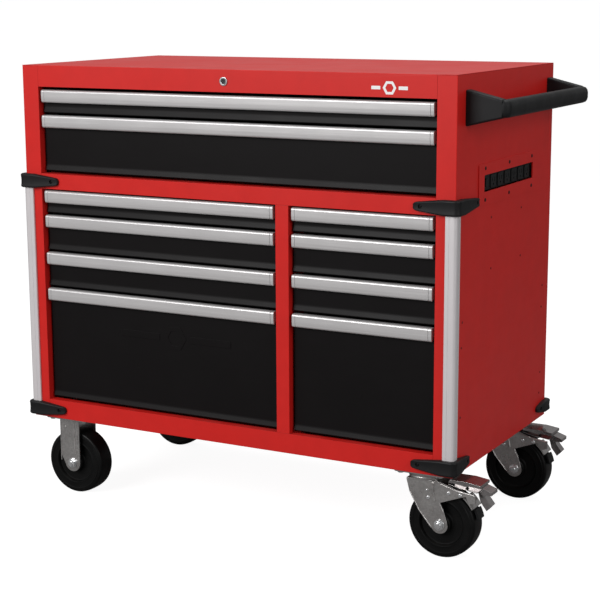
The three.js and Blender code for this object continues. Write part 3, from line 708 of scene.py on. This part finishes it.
def drawer_front(name, low, high):
    """The double front: flat, with a lower edge that leans out and turns under."""
    x, y, crease = low.x + TO_FRONT, low.y, low.z + LIP_HEIGHT
    outline = [(y, high.z), (y, crease), (y - LIP_FLARE * 0.9, low.z + 3.5 * MM)]
    outline += arc((y - LIP_FLARE + 1.6 * MM, low.z + 1.8 * MM), 1.8 * MM, 160, 270, 5)
    outline += [(y + FRONT_DEPTH, low.z), (y + FRONT_DEPTH, high.z)]
    piece = section(name + "_front", [(x, a, b) for a, b in outline],
                    (high.x - low.x - 2 * TO_FRONT) * X)
    rounded_where(piece, 2.5 * MM, lambda middle, way: near(middle.y, y) and near(middle.z, crease))
    return softened(piece, 0.5 * MM, segments=2, angle=40)


def drawer_tray(name, low, high):
    """The open tray with its folded rim."""
    bottom, rim = low.z + TRAY_RISE, high.z - TRAY_DROP
    tray = block(name + "_tray", (low.x + TO_TRAY, low.y + FRONT_DEPTH, bottom),
                 (high.x - TO_TRAY, high.y, rim))
    hollowed(tray, SHEET, rim - bottom - SHEET)
    return softened(tray, 0.35 * MM)


def drawer_slides(name, low, high):
    """The two members riveted to the tray, each a channel with four rivets."""
    start, end, level = low.y + SLIDE_START, high.y, low.z + SLIDE_LEVEL
    web, lip, wall, half = low.x + TO_TRAY, low.x, SLIDE_WALL, SLIDE_HALF
    lower = [(web, -half), (lip, -half), (lip, wall - half), (web - wall, wall - half)]
    outline = lower + [(x, -z) for x, z in reversed(lower)]
    channel = section(name + "_slide", [(x, start, level + z) for x, z in outline], (end - start) * Y)
    softened(channel, 0.4 * MM)
    places = [start + share * (end - start) for share in (0.12, 0.37, 0.62, 0.87)]
    rivets = [dome(name + "_rivet", (web - wall, y, level), -X, 4 * MM, 1.2 * MM) for y in places]
    left = joined(name + "_left_slide", [channel, *rivets])
    right = mirrored_copy(left, name + "_right_slide", 0, (low.x + high.x) / 2)
    return joined(name + "_slides", [left, right])


def emboss(name, low, high):
    """The shallow pressed mark on the face of the deepest drawer."""
    centre = Vector((LEFT + 388 * MM, low.y, UNDER + 222 * MM))
    mark = mark_pieces(name + "_emboss", centre, 30 * MM, 105 * MM, 16 * MM, 1.0 * MM)
    return softened(mark, 0.7 * MM, segments=3)


PULL_NOSE, PULL_WALL, PULL_CAP = 5 * MM, 2 * MM, 8 * MM


def pull_outline(low, high):
    """The pull's section seen along X, as pairs of y and z: the outer side, then the inner side."""
    face, back, nose, wall = low.y, high.y, PULL_NOSE, PULL_WALL
    outer = [(back, high.z)] + arc((face + nose, high.z - nose), nose, 90, 180, 8)
    outer += arc((face + 60 * MM, low.z + 13 * MM), 60 * MM, 180, 189, 4)[1:]
    tip = outer[-1]
    outer += arc((tip[0] + 5.5 * MM, tip[1] - 0.5 * MM), 5.5 * MM, 185, 258, 5)
    end = outer[-1]
    inner = [(end[0] + 0.6 * MM, end[1] + 1.6 * MM), (tip[0] + wall + 0.6 * MM, tip[1] - 1 * MM),
             (tip[0] + wall, tip[1] + 2 * MM), (face + wall, low.z + 13 * MM)]
    inner += arc((face + nose, high.z - nose), nose - wall, 180, 90, 6) + [(back, high.z - wall)]
    return outer, inner


def drawer_pull(name):
    """The extrusion and its two end caps."""
    low, high = box_of(name)
    outer, inner = pull_outline(low, high)
    metal = section(name + "_extrusion", [(low.x + PULL_CAP, a, b) for a, b in outer + inner],
                    (high.x - low.x - 2 * PULL_CAP) * X)
    softened(metal, 0.2 * MM, segments=1)
    filled = outer + [(high.y, outer[-1][1] + 6 * MM)]
    cap = PULL_CAP - 0.5 * MM
    ends = []
    for start in (low.x, high.x - cap):
        end = section(name + "_cap", [(start, a, b) for a, b in filled], cap * X)
        ends.append(softened(end, 0.7 * MM, segments=2))
    finished(joined(name + "_metal", [metal, *ends]), PULL_METAL, name, smooth=35)


def drawer(name):
    low, high = box_of(name)
    front = drawer_front(name, low, high)
    if name == "left_drawer_4":
        front = joined(name + "_front", [front, emboss(name, low, high)])
    finished(front, BLACK_COAT, name)
    finished(drawer_tray(name, low, high), BLACK_COAT, name)
    finished(drawer_slides(name, low, high), ZINC, name, slot="zinc_plated_steel")
    drawer_pull(name + "_pull")


def drawers():
    for node_name in list(frame["nodes"]):
        if "_drawer_" in node_name and not node_name.endswith("_pull"):
            drawer(node_name)


drawers()


# ---------------------------------------------------------------- lock
def lock():
    """A bright barrel with a plug, which carries the cam; the plug is near black as painted shade for the
    shaded centre of the lock.
    """
    finished(softened(copy_of("lock_barrel", "lock_ring"), 0.8 * MM, segments=3), BRIGHT, "lock_barrel")
    finished(softened(copy_of("lock_plug", "lock_core"), 0.3 * MM), PLUG_SHADE_STEEL, "lock_plug")


lock()


# ---------------------------------------------------------------- corner posts
POST_RADIUS, POST_GROOVE = 8 * MM, 0.6 * MM


def notch(at):
    """A groove across a face, as pairs of how far along and how deep."""
    deep = POST_GROOVE
    return [(at - deep, 0), (at - deep * 0.5, deep), (at + deep * 0.5, deep), (at + deep, 0)]


def post_outline(corner, proud, front_leg, side_leg, radius):
    """Seen from above, for the front left corner: a groove runs down each face."""
    x, y, inset = corner.x, corner.y, 0.3 * MM
    centre = (x + radius - proud, y + radius - proud)

    points = [(x - inset, y - inset), (x - inset, y + side_leg), (x - proud + MM, y + side_leg),
              (x - proud, y + side_leg - MM)]
    points += [(x - proud + depth, y + along) for along, depth in reversed(notch(8.5 * MM))]
    points += arc(centre, radius, 180, 270, 8)
    points += [(x + along, y - proud + depth) for along, depth in notch(12 * MM)]
    end = x + front_leg
    return points + [(end - MM, y - proud), (end, y - proud + MM), (end, y - inset)]


def corner_posts():
    low, high = box_of("left_corner_post")
    corner = Vector((LEFT, FRONT, low.z))
    outline = post_outline(corner, LEFT - low.x, high.x - LEFT, high.y - FRONT, POST_RADIUS)
    left = section("left_post_extrusion", [(a, b, low.z) for a, b in outline], (high.z - low.z) * Z)
    right = mirrored_copy(left, "right_post_extrusion", 0, MIDDLE_X)
    finished(left, POST_METAL, "left_corner_post", smooth=25)
    finished(right, POST_METAL, "right_corner_post", smooth=25)


corner_posts()

# ---------------------------------------------------------------- bumpers
BUMPER_FULL = 25 * MM  # from the corner to where an arm starts to taper
SCREW_FROM_TIP, SCREW_SEAT = 17 * MM, 5 * MM  # along the arm, and out from the cabinet
# Each station near a tip: how far from it, how proud and how tall, as shares of the full section.
BUMPER_TIP = [(0, 0.30, 0.14), (0.5 * MM, 0.40, 0.25), (1.5 * MM, 0.48, 0.36), (3.5 * MM, 0.55, 0.46),
              (6 * MM, 0.60, 0.53), (9 * MM, 0.63, 0.57)]


def bumper_section(height):
    """How far out and how high: flared top and bottom edges with a slightly hollow face between them."""
    half = height / 2
    lower = [(0.3 * MM, -half)] + arc((9 * MM, 4 * MM - half), 4 * MM, 270, 360, 5)
    lower += [(12.3 * MM, 8 * MM - half), (11.9 * MM, 0)]
    return lower + [(out, -up) for out, up in reversed(lower[:-1])]


def pushed_on(stations, along, across, corner):
    """Extrudes the selected outline from station to station and scales it about the cabinet's face."""
    for (before, out_before, tall_before), (at, out, tall) in zip(stations, stations[1:]):
        bpy.ops.mesh.extrude_region_move(TRANSFORM_OT_translate={"value": along * abs(at - before)})
        factors = Vector((1, 1, tall / tall_before))
        factors[across] = out / out_before
        bpy.ops.transform.resize(value=factors, center_override=corner)


def screw_seats(corner, front_arm, side_arm):
    """Where each arm's screw sits, and which way it faces."""
    ends = ((front_arm - SCREW_FROM_TIP) * X, -Y), ((side_arm - SCREW_FROM_TIP) * Y, -X)
    return [(corner + along + way * SCREW_SEAT, way) for along, way in ends]


def bumper(name, level, height, front_arm, side_arm):
    """A bumper round the front left corner: one arm from its tip, the turn, and the other arm."""
    corner = Vector((LEFT, FRONT, level))
    out, tall = BUMPER_TIP[0][1:]
    ring = [corner + Vector((front_arm, -a * out, b * tall)) for a, b in bumper_section(height)]
    drawn(name, ring)
    bpy.ops.mesh.edge_face_add()
    pushed_on(BUMPER_TIP + [(front_arm - BUMPER_FULL, 1, 1), (front_arm, 1, 1)], -X, 1, corner)
    bpy.ops.mesh.spin(steps=8, angle=math.pi / 2, center=corner, axis=Z)
    side = [(side_arm - at, *share) for at, *share in BUMPER_TIP]
    pushed_on([(0, 1, 1), (BUMPER_FULL, 1, 1), *reversed(side)], Y, 0, corner)
    bpy.ops.mesh.select_all(action="SELECT")
    bpy.ops.mesh.normals_make_consistent(inside=False)
    piece = close_mesh()
    for seat, way in screw_seats(corner, front_arm, side_arm):
        carved(piece, rod("dimple", seat, seat + way * 15 * MM, 3.6 * MM, 20, tip=7.5 * MM))
    return piece


def bumper_screws(name, level, front_arm, side_arm):
    """A cross headed screw at the bottom of each dimple."""
    corner = Vector((LEFT, FRONT, level))
    screws = []
    for seat, way in screw_seats(corner, front_arm, side_arm):
        head = dome(name, seat, way, 3.1 * MM, 1.4 * MM)
        for reach in (Vector((2.0, 2.0, 0.45)) * MM, Vector((0.45, 0.45, 2.0)) * MM):
            carved(head, block("cross", seat + way * 0.4 * MM - reach, seat + way * 2 * MM + reach))
        screws.append(head)
    return joined(name, screws)


def bumpers():
    for node_name, side_arm in (("upper_left_bumper", 112 * MM), ("lower_front_left_bumper", 82 * MM)):
        low, high = box_of(node_name)
        level = (low.z + high.z) / 2
        piece = bumper(node_name + "_moulding", level, high.z - low.z, high.x - LEFT, side_arm)
        screws = bumper_screws(node_name + "_screws", level, high.x - LEFT, side_arm)
        other = node_name.replace("left", "right")
        finished(mirrored_copy(piece, other + "_moulding", 0, MIDDLE_X), PLASTIC, other)
        finished(mirrored_copy(screws, other + "_screws", 0, MIDDLE_X), DARK_PLASTIC_AND_SHADE, body="cabinet")
        finished(piece, PLASTIC, node_name)
        finished(screws, DARK_PLASTIC_AND_SHADE, body="cabinet")
    low, high = box_of("lower_rear_left_bumper")
    first = bumper("rear_bumper", (low.z + high.z) / 2, high.z - low.z, high.x - LEFT, BACK - low.y)
    left = mirrored_copy(first, "lower_rear_left_bumper_moulding", 1, MIDDLE_Y)
    right = mirrored_copy(left, "lower_rear_right_bumper_moulding", 0, MIDDLE_X)
    bpy.data.objects.remove(first)
    finished(left, PLASTIC, "lower_rear_left_bumper")
    finished(right, PLASTIC, "lower_rear_right_bumper")


bumpers()


# ---------------------------------------------------------------- push handle
def handle_bracket(node_name):
    """A slab that gets lower towards the bar and takes the bar's end into itself."""
    low, high = box_of(node_name)
    foot, reach, tip_height = 3 * MM, 76 * MM, 37 * MM
    piece = block(node_name + "_moulding", low, (low.x + foot, high.y, high.z))
    open_mesh(piece)
    select_where("FACE", lambda middle, way: way.x > 0.9)
    bpy.ops.mesh.extrude_region_move(TRANSFORM_OT_translate={"value": (reach - foot) * X})
    bpy.ops.transform.resize(value=(1, 1, tip_height / (high.z - low.z)), center_override=(low + high) / 2)
    close_mesh()
    rounded_where(piece, 4.5 * MM, lambda middle, way: abs(way.x) > 50 * MM or middle.x < low.x + 2 * MM
                  and near(abs(way.normalized().x), 1, 0.01), segments=5)
    finished(softened(piece, 0.5 * MM, angle=40), PLASTIC, node_name, smooth=50)


def push_handle():
    handle_bracket("handle_front_bracket")
    handle_bracket("handle_rear_bracket")
    finished(copy_of("handle_bar", "handle_bar_moulding"), PLASTIC, "handle_bar", smooth=60)


push_handle()

# ---------------------------------------------------------------- outlet strip
STRIP_SHEET = 1.5 * MM
STRIP_SCREWS = {"front": 34.5 * MM, "back": 27.5 * MM, "edge": 10 * MM}  # from the plate's edges


def strip_plate():
    """The cover plate with its round cornered window."""
    low, high = box_of("strip_cover_plate")
    housing_low, housing_high = box_of("power_strip")
    sheet = plate("strip_plate_sheet", low, (low.x + STRIP_SHEET, high.y, high.z), 4 * MM, 0)
    gap = Vector((0, 0.3, 0.3)) * MM
    window = block("window", Vector((low.x - MM, *housing_low.yz)) - gap,
                   Vector((high.x + MM, *housing_high.yz)) + gap)
    rounded_where(window, 3 * MM, lambda middle, way: abs(way.normalized().x) > 0.9, segments=4)
    finished(carved(sheet, window), RED_COAT, "strip_cover_plate")


def strip_screws():
    """Six slotted screws, along both long edges of the cover plate. Their heads are black as painted shade
    for the shaded recessed screw holes.
    """
    low, high = box_of("strip_cover_plate")
    face, front, back, edge = low.x + STRIP_SHEET, *STRIP_SCREWS.values()
    first = dome("strip_screw", (face, 0, 0), X, 4.2 * MM, 1.0 * MM)
    slot = Vector((0, 2.2, 0.5)) * MM
    carved(first, block("slot", (face + 0.4 * MM) * X - slot, (low.x + 5 * MM) * X + slot))
    ys = low.y + front, (low.y + high.y + front - back) / 2, high.y - back
    zs = low.z + edge, high.z - edge
    heads = [moved_copy(first, "strip_screw_head", (0, y, z)) for y in ys for z in zs]
    bpy.data.objects.remove(first)
    # Black heads: painted shade for the recessed screw holes.
    finished(joined("strip_screws", heads), DARK_PLASTIC_AND_SHADE, "strip_cover_plate")


# An outlet's slots: where the middle of each is, and half its width and height, in millimetres.
OUTLET_SLOTS = [(-6, 3, 1.1, 4.2), (6, 3, 1.1, 4.2), (0, -7, 2.2, 2.2)]


def outlet(name, centre):
    """One generic outlet: a round cornered island with three slots."""
    low, high = centre - Vector((2, 15, 14)) * MM, centre + Vector((2.2, 15, 14)) * MM
    island = plate(name, low, high, 4 * MM, 0, ease=0.5 * MM)
    for y, z, half_y, half_z in OUTLET_SLOTS:
        slot_low = centre + Vector((0, y - half_y, z - half_z)) * MM
        slot_high = centre + Vector((5, y + half_y, z + half_z)) * MM
        carved(island, block("slot", slot_low, slot_high))
    return island


def outlet_strip():
    """The strip's housing with a row of six outlets and a switch at its front end."""
    low, high = box_of("power_strip")
    housing = block("strip_housing", low, high)
    rounded_where(housing, 2 * MM, lambda middle, way: middle.x > high.x - MM, segments=3)
    level, outlet_pitch = (low.z + high.z) / 2, 40 * MM
    first = outlet("outlet", Vector((high.x, low.y + 62 * MM, level)))
    islands = [first] + [moved_copy(first, "outlet_copy", outlet_pitch * k * Y) for k in range(1, 6)]
    switch = plate("strip_switch", (high.x - 3 * MM, low.y + 18 * MM, level - 9 * MM),
                   (high.x + 3 * MM, low.y + 32 * MM, level + 9 * MM), 2 * MM, 0, ease=0.8 * MM)
    finished(joined("power_strip_moulding", [housing, *islands, switch]), PLASTIC, "power_strip")


strip_plate()
strip_screws()
outlet_strip()

# ---------------------------------------------------------------- casters
LEG_OUT = 34 * MM  # from the caster's middle to its legs' outer faces


def wheel_outline():
    """Half of the wheel's section, from the bore over the side to the middle of the tread."""
    hub = [(6.4, 29), (20.5, 29), (22, 27.5), (23.5, 18.6), (26, 17), (44, 17)]
    rim = [(46.5, 17.8), (49, 23), (50.5, 24.2), (52.5, 24.2), (54, 23.4)]
    bead_ring = [(63.5, 24.0), (64.4, 24.9), (66.5, 24.9), (67.4, 23.9)]
    shoulder = arc((69.2, 17.7), 6, 90, 12, 7)
    points = hub + rim + bead_ring + shoulder + [(75.9, 12), (76.2, 0)]
    return [(a * MM, b * MM) for a, b in points]


def tyre(name):
    centre, half = middle_of(name), wheel_outline()
    section_points = half + [(a, -b) for a, b in reversed(half[:-1])]
    outline = [(centre.x, centre.y + b, centre.z + a) for a, b in section_points]
    return spun(name + "_tyre", outline, centre, Y, steps=96)


def hex_bolt(name):
    """The axle: a shank between two hexagons with a crown, each on a washer."""
    low, high = box_of(name)
    centre, reach = (low + high) / 2, (high.y - low.y) / 2
    parts = [rod(name + "_shank", centre - (reach - MM) * Y, centre + (reach - MM) * Y, 6 * MM, 24)]
    for way in (-Y, Y):
        seat, neck, end = (centre + way * (reach - back * MM) for back in (7, 5.4, 0.8))
        washer = softened(rod("washer", seat, neck, 11.8 * MM, 40), 0.35 * MM, segments=1)
        head = softened(rod("hexagon", neck, end, 10.4 * MM, 6), 0.3 * MM)
        chamfer = rod("chamfer", end, centre + way * reach, 10.0 * MM, 6, tip=8.2 * MM)
        crown = dome("crown", centre + way * (reach - 0.2 * MM), way, 7.4 * MM, 2.4 * MM, sides=32)
        parts += [washer, head, chamfer, crown]
    return joined(name + "_steel", parts)


def plate_bolts(name, centre, top):
    """Four hexagon heads under a mounting plate, near its corners."""
    first = rod(name, (centre.x, centre.y, top - 4.5 * MM), (centre.x, centre.y, top + MM), 7 * MM, 6)
    softened(first, 0.5 * MM)
    places = [(x * 45 * MM, y * 38 * MM, 0) for x in (-1, 1) for y in (-1, 1)]
    bolts = [moved_copy(first, name + "_copy", place) for place in places]
    bpy.data.objects.remove(first)
    return joined(name, bolts)


def bead(name, points, radius):
    """A pressed bead that follows the points, as round bars laid end to end."""
    return joined(name, [rod(name, a, b, radius, 10) for a, b in zip(points, points[1:])])


def both_sides(pieces, centre):
    """The pieces and their mirror images across the caster's middle."""
    front = joined("caster_side", pieces)
    back = mirrored_copy(front, "caster_other_side", 1, centre.y)
    return [front, back]


def mounting_steel(name, ease):
    """A copy of a pressing whose mounting plate, which is on top and 5 mm thick, gets round corners."""
    piece, top = copy_of(name, name + "_steel"), box_of(name)[1].z

    def is_plate_corner(middle, way):
        return abs(way.normalized().z) > 0.99 and middle.z > top - 4 * MM and near(way.length, 5 * MM, MM)
    rounded_where(piece, 8 * MM, is_plate_corner, segments=5)
    return softened(piece, ease)


def rigid_fork(name):
    """One pressing: plate, crown and two legs with upright folds on their rear third."""
    centre, high = middle_of(name), box_of(name)[1]
    piece = mounting_steel(name, 0.7 * MM)

    def on_leg(x, below):
        """On the front leg's outer face, in mm from the caster's middle and from 6 mm under its top."""
        return Vector((centre.x + x * MM, centre.y - LEG_OUT, high.z - (below + 6) * MM))
    folds = [bead("fold", [on_leg(12, 4), on_leg(12, 70), on_leg(14, 86)], 1.6 * MM),
             bead("fold", [on_leg(19, 2), on_leg(19, 78)], 1.3 * MM),
             bead("rim", [on_leg(-27.6, 2), on_leg(-27.6, 104)], 1.2 * MM),
             dome("dimple", on_leg(-14, 22), -Y, 3.5 * MM, 1.0 * MM)]
    bolts = plate_bolts(name + "_bolts", centre, high.z - 5 * MM)
    return joined(name + "_steel", [piece, *both_sides(folds, centre), bolts])


def race_rings(name, centre, top):
    """The two rolled rings of the swivel."""
    rings, bulge, half = [], 3 * MM, 3.2 * MM
    for below, radius in ((4 * MM, 40.2 * MM), (11 * MM, 39.6 * MM)):
        outline = [(radius - bulge + bulge * a, half * b) for a, b in arc((0, 0), 1, -90, 90, 10)]
        outline += [(radius - 8 * MM, half), (radius - 8 * MM, -half)]
        points = [(centre.x + a, centre.y, top - below + b) for a, b in outline]
        rings.append(spun(name, points, (centre.x, centre.y, top - below), Z, steps=72))
    return rings


def swivel_plate(name):
    """The mounting plate with the swivel's rings and its bolts."""
    centre, plate_under = middle_of(name), box_of(name)[1].z - 5 * MM
    piece = mounting_steel(name, 0.5 * MM)
    rings = race_rings(name + "_ring", centre, plate_under)
    return joined(name + "_steel", [piece, *rings, plate_bolts(name + "_bolts", centre, plate_under)])


def arc_plate(name, centre, inner, outer, start, end, half_width):
    """A plate bent round the Y axis between two angles, as wide as twice half_width."""
    middle = centre.x, centre.z
    outline = arc(middle, outer, start, end, 8) + arc(middle, inner, end, start, 8)
    piece = section(name, [(a, centre.y - half_width, b) for a, b in outline], 2 * half_width * Y)
    return softened(piece, 0.6 * MM)


def swivel_fork(name, corner):
    """The crown, raked legs with pressed rims, and the cheeks with their rivets and brake hood."""
    axis = middle_of(corner + "_swivel_plate")
    piece = softened(copy_of(name, name + "_steel"), 0.7 * MM)

    def on_leg(along, below):
        """On the front leg's outer face, in mm from the swivel axis and from the cabinet's underside."""
        return Vector((axis.x + along * MM, axis.y - LEG_OUT, UNDER - below * MM))
    details = [
        bead("rim", [on_leg(-32.5, 24), on_leg(-25.6, 50), on_leg(-4.6, 88), on_leg(24, 122)], 1.1 * MM),
        bead("rim", [on_leg(42, 68), on_leg(51, 84), on_leg(59, 108)], 1.1 * MM),
        bead("ridge", [on_leg(27, 24), on_leg(27, 44), on_leg(31, 62)], 2.6 * MM),
        bead("cheek_edge", [on_leg(44, 25), on_leg(82, 34.5), on_leg(120, 39.5)], 1.1 * MM),
    ]
    rivets = [
        dome("rivet", on_leg(16, 58), -Y, 4.4 * MM, 2.0 * MM),
        dome("rivet", on_leg(13, 42), -Y, 3.0 * MM, 1.6 * MM),
        dome("rivet", on_leg(62, 42), -Y, 4.4 * MM, 2.4 * MM),
        dome("rivet", on_leg(88, 43), -Y, 4.4 * MM, 2.4 * MM),
    ]
    finished(joined(name + "_rivets", both_sides(rivets, axis)), BRIGHT, name)
    hood = arc_plate(name + "_hood", middle_of(corner + "_wheel"), 78.5 * MM, 81.5 * MM, 30, 52, 24 * MM)
    return joined(name + "_steel", [piece, *both_sides(details, axis), hood])


def painted_shade_block(corner):
    """A dark block behind the wheel, just clear of its tread: painted shade where the caster's far side
    lies in shadow.
    """
    centre = middle_of(corner + "_wheel")
    shade_piece = arc_plate(corner + "_painted_shade_block", centre, 78.5 * MM, 83.5 * MM, 12, 28, 15 * MM)
    # Black as painted shade, not as the colour of a part.
    finished(shade_piece, DARK_PLASTIC_AND_SHADE, body=bodies_of[corner + "_fork"])


# The plate under the foot plate: along from the swivel axis and down from the underside, in millimetres.
LOWER_PLATE = [(60, 23), (84, 28.5), (124, 33), (124, 34.6), (84, 30.1), (60, 24.6)]


def brake_pedal(name, corner):
    """The broad foot plate, the plate under it, its tongue and the tab with its small emboss."""
    axis = middle_of(corner + "_swivel_plate")

    def at(along, across, below):
        return Vector((axis.x + along * MM, axis.y + across * MM, UNDER - below * MM))
    piece = softened(copy_of(name, name + "_steel"), 0.7 * MM)
    half = 29.4
    outline = [at(along, -half, below) for along, below in LOWER_PLATE]
    lower = section("lower_plate", outline, 2 * half * MM * Y)
    mark = dome("emboss", at(141, 0, 55.5), Vector((0.73, 0, 0.68)).normalized(), 5 * MM, 0.8 * MM)
    return joined(name + "_steel", [piece, softened(lower, 0.5 * MM), mark])


def casters():
    for node_name in list(frame["nodes"]):
        corner = "_".join(node_name.split("_")[:2])
        if node_name.endswith("_wheel"):
            finished(tyre(node_name), RUBBER, node_name, smooth=32)
        elif node_name.endswith("_axle"):
            finished(hex_bolt(node_name), BRIGHT, node_name)
        elif node_name.endswith("_left_fork"):
            finished(rigid_fork(node_name), ZINC, node_name)
        elif node_name.endswith("_right_fork"):
            finished(swivel_fork(node_name, corner), ZINC, node_name)
            # The dark block of painted shade behind each swivel wheel.
            painted_shade_block(corner)
        elif node_name.endswith("_swivel_plate"):
            finished(swivel_plate(node_name), ZINC, node_name)
        elif node_name.endswith("_brake_pedal"):
            finished(brake_pedal(node_name, corner), PEDAL_ZINC, node_name)


casters()


# ---------------------------------------------------------------- studio
FLOOR_GLOW = 0.92  # what the camera sees of the floor besides its lit colour


def studio_floor():
    """A pale floor that the camera sees nearly white, and that throws little light back."""
    clear_bench()
    bpy.ops.mesh.primitive_plane_add(size=400, location=(0, 0, 0))
    floor = settle("studio_floor")
    finish = Finish("studio_floor")
    cloud = noise(finish.tree, 0.7, detail=3)
    finish.colour(finish.blend(cloud, (0.23, 0.23, 0.23), (0.26, 0.26, 0.26)))
    seen = node(finish.tree, "LightPath").outputs["Is Camera Ray"]
    glow = finish.reckon("MULTIPLY", seen, FLOOR_GLOW)
    finish.tree.links.new(glow, finish.shader.inputs["Emission Strength"])
    finish.constants(Roughness=0.9, Specular_IOR_Level=0.0)
    finish.shader.inputs["Emission Color"].default_value = (1, 1, 1, 1)
    floor.data.materials.append(finish.material)


def area_light(name, place, aim, size, power):
    lamp = bpy.data.lights.new(name, "AREA")
    lamp.shape, lamp.size, lamp.size_y, lamp.energy = "RECTANGLE", *size, power
    light = bpy.data.objects.new(name, lamp)
    bpy.context.scene.collection.objects.link(light)
    light.location = place
    light.rotation_euler = (Vector(aim) - Vector(place)).to_track_quat("-Z", "Y").to_euler()


def studio_world():
    """White where the camera looks past the chest, and dimmer as a source of light."""
    world = bpy.data.worlds.new("studio")
    bpy.context.scene.world = world
    world.use_nodes = True
    tree = world.node_tree
    sky = tree.nodes["Background"]
    sky.inputs["Color"].default_value = (1, 1, 1, 1)
    seen = node(tree, "LightPath").outputs["Is Camera Ray"]
    tree.links.new(reckon(tree, "MULTIPLY_ADD", seen, 0.65, 0.35), sky.inputs["Strength"])


def studio_lights():
    area_light("key_light", (-1.6, -4.2, 2.6), (0, 0, 0.6), (2.6, 2.2), 175)
    area_light("fill_light", (3.6, -1.4, 2.0), (0, 0, 0.6), (2.0, 2.0), 38)
    area_light("top_light", (0.2, 0.6, 3.4), (0, 0, 1.0), (2.4, 1.6), 38)
    bpy.context.scene.view_settings.view_transform = "Standard"


add_camera()
studio_floor()
studio_world()
studio_lights()
